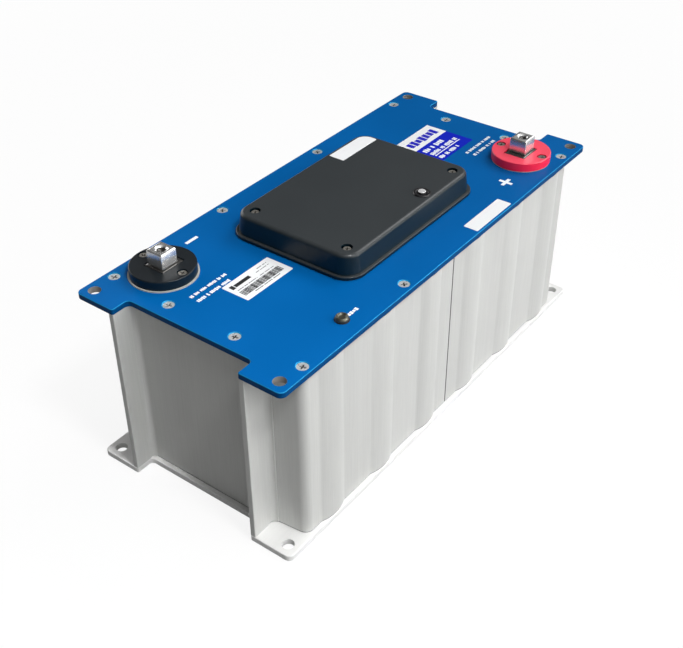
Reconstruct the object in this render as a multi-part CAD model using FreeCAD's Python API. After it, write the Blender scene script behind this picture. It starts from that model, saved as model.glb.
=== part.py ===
"""Supercapacitor module: eighteen cells in series between two plates, in a scalloped case.

Frame: X along the length, Y across, Z up. The origin lies at the middle of the bottom plate's
underside. The negative terminal is at -X +Y and the positive one at +X -Y. Millimetres.
"""
import FreeCAD
import Part

import math
import os
from collections import namedtuple

# Cells
cell_diameter = 60.7
cell_gap = 0.8
cell_columns = 6
cell_rows = 3
cell_can_length = 135.0
cell_edge_radius = 2.0
cell_groove_depth = 1.4
cell_groove_radius = 2.0
cell_groove_height = 125.0
cell_terminal_diameter = 14.0
cell_terminal_height = 3.0

# Bus bars, insulating sheets and sense ribbon
bus_bar_thickness = 2.0
bus_bar_width = 24.0
bus_bar_hole_diameter = 6.0
sheet_thickness = 1.0
sheet_edge_clearance = 0.6
ribbon_thickness = 0.3
ribbon_spine_width = 12.0
ribbon_arm_width = 10.0
ribbon_riser_width = 18.0
ribbon_slot_clearance = 1.0

# Case of two extruded halves
wall_thickness = 2.4
cell_wall_clearance = 0.35
bulge_height = 3.0
bulge_blend_radius = 6.0
end_clearance = 3.0
shoulder_step = 2.3
shoulder_step_radius = 0.8
corner_step = 5.6
case_corner_radius = 7.0
fin_thickness = 4.5
fin_root_radius = 4.0
fin_end_setback = 0.4
seam_gap = 0.3
seam_lip_length = 6.0
seam_lip_depth = 5.0
seam_edge_chamfer = 0.5
seal_width = 1.8
seal_length = 2.6
seal_clearance = 0.1
gasket_thickness = 0.8
gasket_edge_inset = 0.3

# Plates
top_plate_thickness = 5.0
bottom_plate_thickness = 5.0
plate_side_margin = 0.4
end_ledge = 4.0
tab_length = 15.5
tab_width = 37.2
plate_corner_radius = 5.0
tab_tip_radius = 1.5
notch_corner_radius = 4.0
plate_edge_rounding = 0.7
tab_hole_diameter = 9.6
tab_hole_inset_x = 9.7
tab_hole_inset_y = 9.6

# Plate screws and the channels that they run in
plate_screw_core_diameter = 4.1
plate_screw_head_diameter = 8.6
plate_screw_length = 18.0
plate_screw_recess = 0.6
plate_screw_hole_diameter = 5.5
plate_screw_inset_side = 4.3
plate_screw_inset_corner = 5.4
plate_screw_inset_end = 9.0
countersink_gap = 0.05
screw_channel_diameter = 4.2
screw_boss_radius = 5.0
screw_web_width = 6.0

# Terminals
terminal_block_width = 15.2
terminal_block_chamfer = 0.8
terminal_block_height = 12.0
terminal_neck_diameter = 12.6
terminal_neck_height = 0.9
terminal_collar_width = 18.4
terminal_collar_inboard = 12.2
terminal_collar_height = 2.2
terminal_thread_hole_diameter = 6.8
terminal_thread_hole_depth = 8.0
terminal_thread_countersink = 1.3
terminal_stud_diameter = 15.0
terminal_spigot_diameter = 8.0
terminal_spigot_height = 6.0
terminal_spigot_clearance = 0.05
terminal_base_diameter = 30.0
terminal_base_thickness = 1.6
terminal_seal_diameter = 34.0
terminal_seal_clearance = 0.3

# Insulating discs round the terminals
disc_diameter = 50.0
disc_thickness = 7.4
disc_rim_rounding = 0.8
disc_ring_thickness = 0.8
negative_ring_diameter = 52.6
positive_ring_diameter = 49.4
disc_pocket_clearance = 0.8
disc_pocket_depth = 2.4
disc_pocket_radius = 1.2
disc_bore_diameter = 18.0
disc_sleeve_diameter = 27.6
disc_sleeve_clearance = 0.2
disc_screw_offset = 19.7
disc_screw_core_diameter = 3.2
disc_screw_head_diameter = 7.4
disc_screw_head_height = 2.2
disc_screw_hole_diameter = 4.4
disc_counterbore_clearance = 0.3
disc_counterbore_depth = 2.7
tapped_hole_clearance = 0.05

# Moulded cover over the balancing board
cover_flange_length = 174.4
cover_flange_width = 118.8
cover_flange_thickness = 2.2
cover_flange_lip = 2.6
cover_flange_rounding = 0.6
cover_corner_radius = 17.0
cover_draft = 2.0
cover_height = 18.5
cover_top_rounding = 3.2
cover_wall = 2.2
cover_rib_height = 4.0
cover_rib_width = 1.6
cover_rib_spacing = 36.0
cover_gasket_thickness = 0.8
cover_gasket_width = 6.5
cover_gasket_inset = 0.8
cover_screw_inset_x = 16.2
cover_screw_inset_y = 15.9
cover_screw_core_diameter = 3.9
cover_screw_head_diameter = 7.0
cover_screw_head_height = 2.0
cover_screw_hole_diameter = 4.5
cover_screw_recess_diameter = 8.6
cover_screw_recess_depth = 3.4
cover_boss_radius = 5.6

# Plug in the cover
plug_inset_x = 61.2
plug_inset_y = 15.4
plug_collar_diameter = 14.6
plug_collar_height = 1.0
plug_dish_diameter = 10.4
plug_dish_depth = 0.6
plug_stem_diameter = 8.0
plug_stem_clearance = 0.1
plug_barb_diameter = 9.2
plug_barb_height = 1.5
plug_neck_diameter = 5.4
plug_neck_height = 1.4
plug_cap_diameter = 6.2
plug_cap_height = 0.7
plug_cap_rounding = 0.4

# Vent fitting in the top plate
vent_inset = 17.3
vent_head_diameter = 10.0
vent_head_height = 2.8
vent_head_rounding = 1.2
vent_stem_diameter = 6.2
vent_stem_clearance = 0.1
vent_stem_reach = 3.0
vent_bore_diameter = 2.0
vent_seal_thickness = 0.6
vent_seal_margin = 0.6

# Labels
label_thickness = 0.2
label_corner_radius = 1.0
rating_label_cover_gap = 23.8
rating_label_y = 14.0
rating_label_length = 49.0
rating_label_width = 48.0
serial_label_cover_gap = 6.3
serial_label_y = 1.4
serial_label_length = 50.5
serial_label_width = 25.2
blank_label_x = 56.5
blank_label_edge_gap = 2.0
blank_label_length = 52.0
blank_label_width = 12.6
cover_label_length = 47.0
cover_label_width = 14.4
cover_label_edge_gap = 0.3

# Balancing board under the cover
board_length = 130.0
board_width = 80.0
board_thickness = 1.6
board_corner_radius = 4.0
board_pillar_inset = 7.0
board_pillar_diameter = 6.5
board_pillar_height = 5.0
board_pillar_spigot_diameter = 4.0
board_pillar_spigot_length = 4.0
board_screw_core_diameter = 2.5
board_screw_head_diameter = 5.5
board_screw_head_height = 1.8
board_screw_length = 5.0
board_screw_hole_diameter = 3.2
board_connector_length = 24.0
board_connector_width = 7.0
board_connector_height = 3.4
resistor_columns = 9
resistor_rows = 2
resistor_length = 9.0
resistor_width = 18.0
resistor_height = 6.0
resistor_pitch_x = 13.0
resistor_pitch_y = 34.0
resistor_edge = 1.0
window_margin = 17.0
window_corner_radius = 4.0

# Cell places, counted from the negative terminal along the series path
cell_pitch = cell_diameter + cell_gap
column_x = [(i - (cell_columns - 1) / 2) * cell_pitch for i in range(cell_columns)]
row_y = [(i - (cell_rows - 1) / 2) * cell_pitch for i in range(cell_rows)]
cell_radius = cell_diameter / 2

# Levels, from the bottom plate's underside upwards
bottom_plate_top = bottom_plate_thickness
bottom_bar_base = bottom_plate_top + sheet_thickness
cell_base = bottom_bar_base + bus_bar_thickness
can_base = cell_base + cell_terminal_height
cell_top = can_base + cell_can_length + cell_terminal_height
ribbon_base = cell_top + bus_bar_thickness
top_sheet_base = ribbon_base + ribbon_thickness
top_plate_base = top_sheet_base + sheet_thickness
plate_top = top_plate_base + top_plate_thickness
case_base = bottom_plate_top + gasket_thickness
case_top = top_plate_base - gasket_thickness

# Case and plate outlines, as distances from the middle
bulge_radius = cell_radius + cell_wall_clearance + wall_thickness
bulge_peak_y = row_y[-1] + bulge_radius
flat_y = bulge_peak_y - bulge_height
end_x = column_x[-1] + cell_radius + end_clearance + wall_thickness
shoulder_x = end_x - shoulder_step
corner_x = end_x - corner_step
plate_half_width = bulge_peak_y + plate_side_margin
notch_x = end_x + end_ledge
plate_half_length = notch_x + tab_length
tab_inner_y = plate_half_width - tab_width
fin_middle_y = tab_inner_y + fin_thickness / 2

# Terminal places, over the first and the last cell
negative_place = (column_x[0], row_y[-1])
positive_place = (column_x[-1], row_y[0])
disc_base = plate_top + disc_ring_thickness
disc_top = disc_base + disc_thickness
pocket_floor = disc_top - disc_pocket_depth
block_base = pocket_floor + terminal_collar_height + terminal_neck_height
block_top = block_base + terminal_block_height

# Cover levels, and the places that go with the cover's and the plate's edges
cover_base = plate_top + cover_gasket_thickness
cover_top = cover_base + cover_height
cover_ceiling = cover_top - cover_wall
board_base = plate_top + board_pillar_height
board_top = board_base + board_thickness
cover_end_x = cover_flange_length / 2
cover_side_y = cover_flange_width / 2
plug_x = cover_end_x - plug_inset_x
plug_y = plug_inset_y - cover_side_y
vent_x = (column_x[0] + column_x[1]) / 2
vent_y = vent_inset - plate_half_width
rating_label_x = cover_end_x + rating_label_cover_gap + rating_label_length / 2
serial_label_x = -cover_end_x - serial_label_cover_gap - serial_label_length / 2
blank_label_y = blank_label_edge_gap + blank_label_width / 2 - plate_half_width

Corner = namedtuple("Corner", "x y radius")
Bend = namedtuple("Bend", "start middle end")


def point(x, y, z=0.0):
    """A point or direction."""
    return FreeCAD.Vector(x, y, z)


def corner_bend(before, corner, after):
    """The arc that rounds a corner between the points before and after it."""
    tip = point(corner.x, corner.y)
    to_before = (before - tip).normalize()
    to_after = (after - tip).normalize()
    half_angle = to_before.getAngle(to_after) / 2
    reach = corner.radius / math.tan(half_angle)
    inward = (to_before + to_after).normalize()
    centre = tip + inward * (corner.radius / math.sin(half_angle))
    return Bend(tip + to_before * reach, centre - inward * corner.radius, tip + to_after * reach)


def closed_wire(items, z=0.0):
    """A closed flat wire through corners and ready-made bends, joined by straight runs."""
    entries = [item.start if isinstance(item, Bend) else point(item.x, item.y) for item in items]
    exits = [item.end if isinstance(item, Bend) else point(item.x, item.y) for item in items]
    bends = []
    for i, item in enumerate(items):
        if isinstance(item, Corner):
            item = corner_bend(exits[i - 1], item, entries[(i + 1) % len(items)])
        bends.append(item)
    edges = []
    for i, bend in enumerate(bends):
        edges.append(Part.Arc(bend.start, bend.middle, bend.end).toShape())
        following = bends[(i + 1) % len(bends)].start
        if bend.end.distanceToPoint(following) > 1e-6:
            edges.append(Part.LineSegment(bend.end, following).toShape())
    wire = Part.Wire(edges)
    wire.translate(point(0, 0, z))
    return wire


def prism(items, z, height):
    """A solid with the given outline, standing on level z."""
    return Part.Face(closed_wire(items, z)).extrude(point(0, 0, height))


def rectangle(x, y, length, width, radius):
    """The corners of a rounded rectangle, in order."""
    signs = [(1, 1), (-1, 1), (-1, -1), (1, -1)]
    return [Corner(x + sx * length / 2, y + sy * width / 2, radius) for sx, sy in signs]


def rod(x, y, z, diameter, height):
    """An upright cylinder."""
    return Part.makeCylinder(diameter / 2, height, point(x, y, z))


def block(x, y, z, length, width, height):
    """A box centred on x and y, standing on level z."""
    return Part.makeBox(length, width, height, point(x - length / 2, y - width / 2, z))


def turned(x, y, profile):
    """A turned solid about the upright axis at x, y, from (radius, level) points."""
    points = [point(radius, 0, level) for radius, level in profile]
    wire = Part.makePolygon(points + points[:1])
    solid = Part.Face(wire).revolve(point(0, 0, 0), point(0, 0, 1), 360)
    solid.translate(point(x, y, 0))
    return solid


def flat_edges(solid, level):
    """The edges that lie wholly at one level."""
    edges = []
    for edge in solid.Edges:
        box = edge.BoundBox
        if abs(box.ZMin - level) < 1e-4 and abs(box.ZMax - level) < 1e-4:
            edges.append(edge)
    return edges


def upright_edges(solid):
    """The straight edges that run along Z."""
    edges = []
    for edge in solid.Edges:
        box = edge.BoundBox
        if box.XLength < 1e-4 and box.YLength < 1e-4:
            edges.append(edge)
    return edges


def cut_all(solid, tools):
    """The solid with every tool cut from it."""
    return solid.cut(Part.makeCompound(tools))


def quadrants(x, y):
    """The four places that mirror one place in X and Y."""
    return [(sx * x, sy * y) for sx in (-1, 1) for sy in (-1, 1)]


def cell_bulge(x, inset):
    """The wall's bend round a cell of the +Y row, walked towards -X, with hollow blends."""
    radius = bulge_radius - inset
    blend = bulge_blend_radius + inset
    flat = flat_y - inset
    centre = point(x, row_y[-1])
    rise = flat + blend - row_y[-1]
    reach = math.sqrt((radius + blend) ** 2 - rise ** 2)
    parts = []
    for side in (1, -1):
        blend_centre = point(x + side * reach, flat + blend)
        foot = point(blend_centre.x, flat)
        touch = centre + (blend_centre - centre) * (radius / (radius + blend))
        halfway = ((foot - blend_centre) + (touch - blend_centre)).normalize()
        parts.append((foot, blend_centre + halfway * blend, touch))
    first, last = parts
    crown = point(x, row_y[-1] + radius)
    return [Bend(*first), Bend(first[2], crown, last[2]), Bend(last[2], last[1], last[0])]


def half_turn(item):
    """A corner or bend turned by half a turn about the middle."""
    if isinstance(item, Corner):
        return Corner(-item.x, -item.y, item.radius)
    return Bend(-item.start, -item.middle, -item.end)


def case_outline(inset):
    """The case wall's outline, moved inwards by inset: bulges on the long sides, shouldered ends."""
    corner_radius = case_corner_radius - inset
    shoulder = Corner(shoulder_x - inset, fin_middle_y, shoulder_step_radius)
    face = Corner(end_x - inset, fin_middle_y, shoulder_step_radius)
    corner = Corner(corner_x - inset, flat_y - inset, corner_radius)
    half = [Corner(item.x, -item.y, item.radius) for item in (corner, shoulder, face)]
    half += [face, shoulder, corner]
    for x in reversed(column_x):
        half += cell_bulge(x, inset)
    return half + [half_turn(item) for item in half]


side_screws = quadrants(cell_pitch, flat_y - plate_screw_inset_side)
corner_screws = quadrants(corner_x - plate_screw_inset_corner, flat_y - plate_screw_inset_side)
end_screws = quadrants(end_x - plate_screw_inset_end, cell_pitch / 2)
plate_screws = side_screws + corner_screws + end_screws


def screw_lands(z, height, outer):
    """The material round each screw, with a web to the end wall, kept inside the outer prism."""
    lands = [rod(x, y, z, 2 * screw_boss_radius, height) for x, y in plate_screws]
    web_length = plate_screw_inset_end - wall_thickness / 2
    for x, y in end_screws:
        web_x = x + math.copysign(web_length / 2, x)
        lands.append(block(web_x, y, z, web_length, screw_web_width, height))
    return [land.common(outer) for land in lands]


def case_section(z, height, inset, hole_diameter):
    """The case wall with its screw lands, as one upright ring without fins."""
    outer = prism(case_outline(inset), z, height)
    ring = outer.cut(prism(case_outline(wall_thickness), z, height))
    ring = ring.multiFuse(screw_lands(z, height, outer))
    return cut_all(ring, [rod(x, y, z, hole_diameter, height) for x, y in plate_screws])


def fin(sx, sy):
    """One corner fin, flush with the tab's inner edge and flared where it meets the wall.

    Past the flare it is taller than the wall by the gaskets, so it bears on both plates.
    """
    root = end_x - wall_thickness / 2
    tip = plate_half_length - fin_end_setback
    near, far = tab_inner_y, tab_inner_y + fin_thickness
    flare_x = end_x + fin_root_radius
    arc = fin_root_radius * (1 - math.sqrt(0.5))
    inner = Bend(point(end_x, near - fin_root_radius), point(end_x + arc, near - arc),
                 point(flare_x, near))
    outer_wall = shoulder_x
    outer = Bend(point(outer_wall + fin_root_radius, far), point(outer_wall + arc, far + arc),
                 point(outer_wall, far + fin_root_radius))
    small = fin_root_radius / 8
    items = [Corner(root, near - fin_root_radius, small), inner, Corner(tip, near, small),
             Corner(tip, far, small), outer, Corner(outer_wall - wall_thickness / 2,
                                                    far + fin_root_radius, small)]
    free_part = [Corner(flare_x, near, small), Corner(tip, near, small),
                 Corner(tip, far, small), Corner(flare_x, far, small)]
    solid = prism(items, case_base, case_top - case_base)
    solid = solid.fuse(prism(free_part, bottom_plate_top, top_plate_base - bottom_plate_top))
    if sx < 0:
        solid = solid.mirror(point(0, 0, 0), point(1, 0, 0))
    if sy < 0:
        solid = solid.mirror(point(0, 0, 0), point(0, 1, 0))
    return solid


def seam_groove_y():
    """How far from the middle the seam's seals lie."""
    return flat_y - seam_lip_depth / 2


def case_half(side):
    """One extruded half of the case, on the -X (side -1) or +X (side 1) end."""
    height = case_top - case_base
    ring = case_section(case_base, height, 0.0, screw_channel_diameter)
    half_space = block(side * (plate_half_length + seam_gap / 2), 0, case_base,
                       2 * plate_half_length, 2 * plate_half_width, height)
    half = ring.common(half_space)
    lip_x = side * (seam_gap + seam_lip_length) / 2
    adds = [fin(side, sy) for sy in (-1, 1)]
    for sy in (-1, 1):
        adds.append(block(lip_x, sy * seam_groove_y(), case_base, seam_lip_length, seam_lip_depth, height))
    half = half.multiFuse(adds).removeSplitter()
    seam_x = side * seam_gap / 2
    outer_edges = [edge for edge in upright_edges(half)
                   if abs(edge.BoundBox.XMin - seam_x) < 1e-3
                   and abs(abs(edge.BoundBox.YMin) - flat_y) < 1e-3]
    half = half.makeChamfer(seam_edge_chamfer, outer_edges)
    groove_length = seal_length + 2 * seal_clearance
    groove_width = seal_width + 2 * seal_clearance
    grooves = [block(0, sy * seam_groove_y(), case_base, groove_length, groove_width, height)
               for sy in (-1, 1)]
    return cut_all(half, grooves)


def seam_seals():
    """The two rubber strips that close the seam between the halves."""
    height = case_top - case_base
    return [block(0, sy * seam_groove_y(), case_base, seal_length, seal_width, height)
            for sy in (-1, 1)]


def gasket(z):
    """The flat gasket between the case and a plate."""
    return case_section(z, gasket_thickness, gasket_edge_inset, plate_screw_hole_diameter)


def plate_blank(z, thickness):
    """A plate with tabs at its corners, its edges rounded and its tab holes drilled."""
    half = [Corner(notch_x, -tab_inner_y, notch_corner_radius),
            Corner(notch_x, tab_inner_y, notch_corner_radius),
            Corner(plate_half_length, tab_inner_y, tab_tip_radius),
            Corner(plate_half_length, plate_half_width, plate_corner_radius),
            Corner(-plate_half_length, plate_half_width, plate_corner_radius),
            Corner(-plate_half_length, tab_inner_y, tab_tip_radius)]
    blank = prism(half + [half_turn(item) for item in half], z, thickness)
    edges = flat_edges(blank, z) + flat_edges(blank, z + thickness)
    blank = blank.makeFillet(plate_edge_rounding, edges)
    holes = [rod(x, y, z, tab_hole_diameter, thickness)
             for x, y in quadrants(plate_half_length - tab_hole_inset_x,
                                   plate_half_width - tab_hole_inset_y)]
    return cut_all(blank, holes)


def countersunk_holes(z, thickness, face, outward):
    """The screw holes of a plate, countersunk from its face, which looks up (1) or down (-1)."""
    radius = plate_screw_head_diameter / 2 + plate_screw_recess + countersink_gap
    depth = radius - plate_screw_hole_diameter / 2
    tools = []
    for x, y in plate_screws:
        tools.append(rod(x, y, z, plate_screw_hole_diameter, thickness))
        cone = Part.makeCone(radius, radius - depth, depth, point(x, y, face),
                             point(0, 0, -outward))
        tools.append(cone)
    return tools


def plate_screw(x, y, face, outward):
    """A countersunk screw, its head just under the plate's face and its shank in the channel."""
    head_radius = plate_screw_head_diameter / 2
    core_radius = plate_screw_core_diameter / 2
    head = face - outward * plate_screw_recess
    neck = head - outward * (head_radius - core_radius)
    end = head - outward * plate_screw_length
    tip = end + outward * core_radius / 2
    profile = [(0, head), (head_radius, head), (core_radius, neck), (core_radius, tip),
               (core_radius / 2, end), (0, end)]
    return turned(x, y, profile)


def cover_screw_places():
    """Where the cover's screws stand."""
    return quadrants(cover_end_x - cover_screw_inset_x, cover_side_y - cover_screw_inset_y)


def disc_screw_places():
    """Where the screws of both terminal discs stand."""
    places = []
    for x, y in (negative_place, positive_place):
        places += [(x, y - disc_screw_offset), (x, y + disc_screw_offset)]
    return places


def pillar_places():
    """Where the board's pillars stand."""
    return quadrants(board_length / 2 - board_pillar_inset, board_width / 2 - board_pillar_inset)


def top_plate():
    """The top plate: countersunk screws, terminal openings, board window and vent hole."""
    z = top_plate_base
    depth = top_plate_thickness
    tools = countersunk_holes(z, depth, plate_top, 1)
    sleeve_hole = disc_sleeve_diameter + 2 * disc_sleeve_clearance
    for x, y in (negative_place, positive_place):
        tools.append(rod(x, y, z, sleeve_hole, depth))
    disc_tap = disc_screw_core_diameter + 2 * tapped_hole_clearance
    tools += [rod(x, y, z, disc_tap, depth) for x, y in disc_screw_places()]
    cover_tap = cover_screw_core_diameter + 2 * tapped_hole_clearance
    tools += [rod(x, y, z, cover_tap, depth) for x, y in cover_screw_places()]
    spigot_hole = board_pillar_spigot_diameter + 2 * tapped_hole_clearance
    tools += [rod(x, y, z, spigot_hole, depth) for x, y in pillar_places()]
    tools.append(rod(vent_x, vent_y, z, vent_stem_diameter + 2 * vent_stem_clearance, depth))
    window = rectangle(0, 0, board_length - 2 * window_margin, board_width - 2 * window_margin,
                       window_corner_radius)
    tools.append(prism(window, z, depth))
    return cut_all(plate_blank(z, depth), tools)


def bottom_plate():
    """The bottom plate, countersunk from below."""
    blank = plate_blank(0, bottom_plate_thickness)
    return cut_all(blank, countersunk_holes(0, bottom_plate_thickness, 0, -1))


def cell(x, y):
    """A cell: a drawn can with rounded ends and a rolled groove, and a terminal at each end."""
    can = rod(x, y, can_base, cell_diameter, cell_can_length)
    rims = flat_edges(can, can_base) + flat_edges(can, can_base + cell_can_length)
    can = can.makeFillet(cell_edge_radius, rims)
    groove_centre = cell_radius + cell_groove_radius - cell_groove_depth
    groove = Part.makeTorus(groove_centre, cell_groove_radius,
                            point(x, y, can_base + cell_groove_height))
    poles = rod(x, y, cell_base, cell_terminal_diameter, cell_top - cell_base)
    return can.cut(groove).fuse(poles).removeSplitter()


def series_path():
    """The cells' places in electrical order, from the negative terminal to the positive one."""
    path = []
    for i, y in enumerate(reversed(row_y)):
        columns = column_x if i % 2 == 0 else list(reversed(column_x))
        path += [(x, y) for x in columns]
    return path


def bus_bar(start, end, z):
    """A bar with round ends that joins the terminals of two neighbouring cells."""
    middle_x = (start[0] + end[0]) / 2
    middle_y = (start[1] + end[1]) / 2
    length = abs(start[0] - end[0])
    width = abs(start[1] - end[1])
    bar = block(middle_x, middle_y, z, max(length, bus_bar_width), max(width, bus_bar_width),
                bus_bar_thickness)
    ends = [rod(x, y, z, bus_bar_width, bus_bar_thickness) for x, y in (start, end)]
    holes = [rod(x, y, z, bus_bar_hole_diameter, bus_bar_thickness) for x, y in (start, end)]
    return cut_all(bar.multiFuse(ends).removeSplitter(), holes)


def bus_bars(first, z):
    """The bars of one face, joining every second pair of the path from the given pair on."""
    path = series_path()
    pairs = list(zip(path, path[1:]))
    return [bus_bar(start, end, z) for start, end in pairs[first::2]]


def tap_ribbon():
    """The flexible sense circuit: a spine over the middle row, two cross arms and a riser."""
    spine_length = 2 * column_x[-1] + ribbon_spine_width
    spine = block(0, 0, ribbon_base, spine_length, ribbon_spine_width, ribbon_thickness)
    arm_length = 2 * row_y[-1] + ribbon_arm_width
    arms = [block(side * cell_pitch, 0, ribbon_base, ribbon_arm_width, arm_length,
                  ribbon_thickness) for side in (-1, 1)]
    riser_height = board_base - board_connector_height - ribbon_base
    riser = block(0, 0, ribbon_base, ribbon_riser_width, ribbon_thickness, riser_height)
    return spine.multiFuse(arms + [riser]).removeSplitter()


def sheet_blank(z):
    """An insulating sheet cut to the inside of the case, clear of its screw lands."""
    outline = case_outline(wall_thickness + sheet_edge_clearance)
    sheet = prism(outline, z, sheet_thickness)
    land_diameter = 2 * (screw_boss_radius + sheet_edge_clearance)
    web_width = screw_web_width + 2 * sheet_edge_clearance
    tools = [rod(x, y, z, land_diameter, sheet_thickness) for x, y in plate_screws]
    for x, y in end_screws:
        web_x = x + math.copysign(plate_screw_inset_end / 2, x)
        tools.append(block(web_x, y, z, plate_screw_inset_end, web_width, sheet_thickness))
    lip_length = seam_gap + 2 * (seam_lip_length + sheet_edge_clearance)
    lip_depth = seam_lip_depth + 2 * sheet_edge_clearance
    for sy in (-1, 1):
        tools.append(block(0, sy * seam_groove_y(), z, lip_length, lip_depth, sheet_thickness))
    return cut_all(sheet, tools)


def top_sheet():
    """The upper sheet, open at the terminal seals, the ribbon's riser and the vent."""
    z = top_sheet_base
    seal_hole = terminal_seal_diameter + 2 * terminal_seal_clearance
    tools = [rod(x, y, z, seal_hole, sheet_thickness) for x, y in (negative_place, positive_place)]
    tools.append(block(0, 0, z, ribbon_riser_width + 2 * ribbon_slot_clearance,
                       ribbon_thickness + 2 * ribbon_slot_clearance, sheet_thickness))
    tools.append(rod(vent_x, vent_y, z, vent_head_diameter, sheet_thickness))
    return cut_all(sheet_blank(z), tools)


def terminal_stud(x, y):
    """The lower terminal piece: a base on the cell, a stud through the plate and a spigot."""
    base = rod(x, y, cell_top, terminal_base_diameter, terminal_base_thickness)
    stud = rod(x, y, cell_top, terminal_stud_diameter, pocket_floor - cell_top)
    spigot = rod(x, y, pocket_floor, terminal_spigot_diameter, terminal_spigot_height)
    return base.multiFuse([stud, spigot]).removeSplitter()


def collar_centre(x):
    """The middle of the collar's length: it reaches further towards the module's middle."""
    return x - math.copysign((terminal_collar_inboard - terminal_collar_width / 2) / 2, x)


def collar_length():
    """How long the collar is along X."""
    return terminal_collar_inboard + terminal_collar_width / 2


def terminal_block(x, y):
    """The square plated block on a short neck and a wider collar, threaded from above."""
    collar = block(collar_centre(x), y, pocket_floor, collar_length(), terminal_collar_width,
                   terminal_collar_height)
    neck = rod(x, y, block_base - terminal_neck_height, terminal_neck_diameter,
               terminal_neck_height)
    body = block(x, y, block_base, terminal_block_width, terminal_block_width,
                 terminal_block_height)
    body = body.makeChamfer(terminal_block_chamfer, flat_edges(body, block_top))
    solid = collar.multiFuse([neck, body])
    thread_radius = terminal_thread_hole_diameter / 2
    thread = rod(x, y, block_top - terminal_thread_hole_depth, terminal_thread_hole_diameter,
                 terminal_thread_hole_depth)
    mouth = Part.makeCone(thread_radius, thread_radius + terminal_thread_countersink,
                          terminal_thread_countersink,
                          point(x, y, block_top - terminal_thread_countersink))
    bore = rod(x, y, pocket_floor, terminal_spigot_diameter + 2 * terminal_spigot_clearance,
               terminal_spigot_height + terminal_spigot_clearance)
    return cut_all(solid, [thread, mouth, bore])


def terminal_seal(x, y):
    """The rubber ring between the terminal's base and the plate."""
    z = cell_top + terminal_base_thickness
    height = top_plate_base - z
    ring = rod(x, y, z, terminal_seal_diameter, height)
    return ring.cut(rod(x, y, z, terminal_stud_diameter + 2 * terminal_seal_clearance, height))


def insulating_disc(x, y):
    """A moulded disc with a square pocket, two counterbores and a sleeve through the plate."""
    disc = rod(x, y, disc_base, disc_diameter, disc_thickness)
    disc = disc.makeFillet(disc_rim_rounding, flat_edges(disc, disc_top))
    sleeve_base = top_plate_base + disc_sleeve_clearance
    sleeve = rod(x, y, sleeve_base, disc_sleeve_diameter, disc_base - sleeve_base)
    pocket_length = collar_length() + 2 * disc_pocket_clearance
    pocket_width = terminal_collar_width + 2 * disc_pocket_clearance
    pocket = prism(rectangle(collar_centre(x), y, pocket_length, pocket_width,
                             disc_pocket_radius), pocket_floor, disc_pocket_depth)
    tools = [pocket, rod(x, y, sleeve_base, disc_bore_diameter, disc_top - sleeve_base)]
    head_hole = disc_screw_head_diameter + 2 * disc_counterbore_clearance
    for sy in (-1, 1):
        screw_y = y + sy * disc_screw_offset
        tools.append(rod(x, screw_y, disc_base, disc_screw_hole_diameter, disc_thickness))
        tools.append(rod(x, screw_y, disc_top - disc_counterbore_depth, head_hole,
                         disc_counterbore_depth))
    return cut_all(disc.fuse(sleeve), tools)


def disc_ring(x, y, diameter):
    """The thin ring that the disc stands on."""
    ring = rod(x, y, plate_top, diameter, disc_ring_thickness)
    tools = [rod(x, y, plate_top, disc_sleeve_diameter + 2 * disc_sleeve_clearance,
                 disc_ring_thickness)]
    tools += [rod(x, y + sy * disc_screw_offset, plate_top, disc_screw_hole_diameter,
                  disc_ring_thickness) for sy in (-1, 1)]
    return cut_all(ring, tools)


def headed_screw(x, y, seat, end, head_diameter, head_height, core_diameter):
    """A screw with a flat-topped round head, from its seat down to its end."""
    head = rod(x, y, seat, head_diameter, head_height)
    head = head.makeFillet(head_height / 3, flat_edges(head, seat + head_height))
    return head.fuse(rod(x, y, end, core_diameter, seat - end)).removeSplitter()


def disc_screws():
    """The four screws of the two discs."""
    seat = disc_top - disc_counterbore_depth
    return [headed_screw(x, y, seat, top_plate_base, disc_screw_head_diameter,
                         disc_screw_head_height, disc_screw_core_diameter)
            for x, y in disc_screw_places()]


def cover_level_outline(drop, offset):
    """The cover's outline at a depth under its top, moved inwards by offset."""
    wall_foot = cover_height - cover_flange_thickness
    inset = cover_flange_lip + cover_draft * (1 - drop / wall_foot) + offset
    return rectangle(0, 0, cover_flange_length - 2 * inset, cover_flange_width - 2 * inset,
                     cover_corner_radius - inset)


def tapered(low, high, z_low, z_high):
    """A solid between two rounded outlines at two levels."""
    return Part.makeLoft([closed_wire(low, z_low), closed_wire(high, z_high)], True, True)


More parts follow.
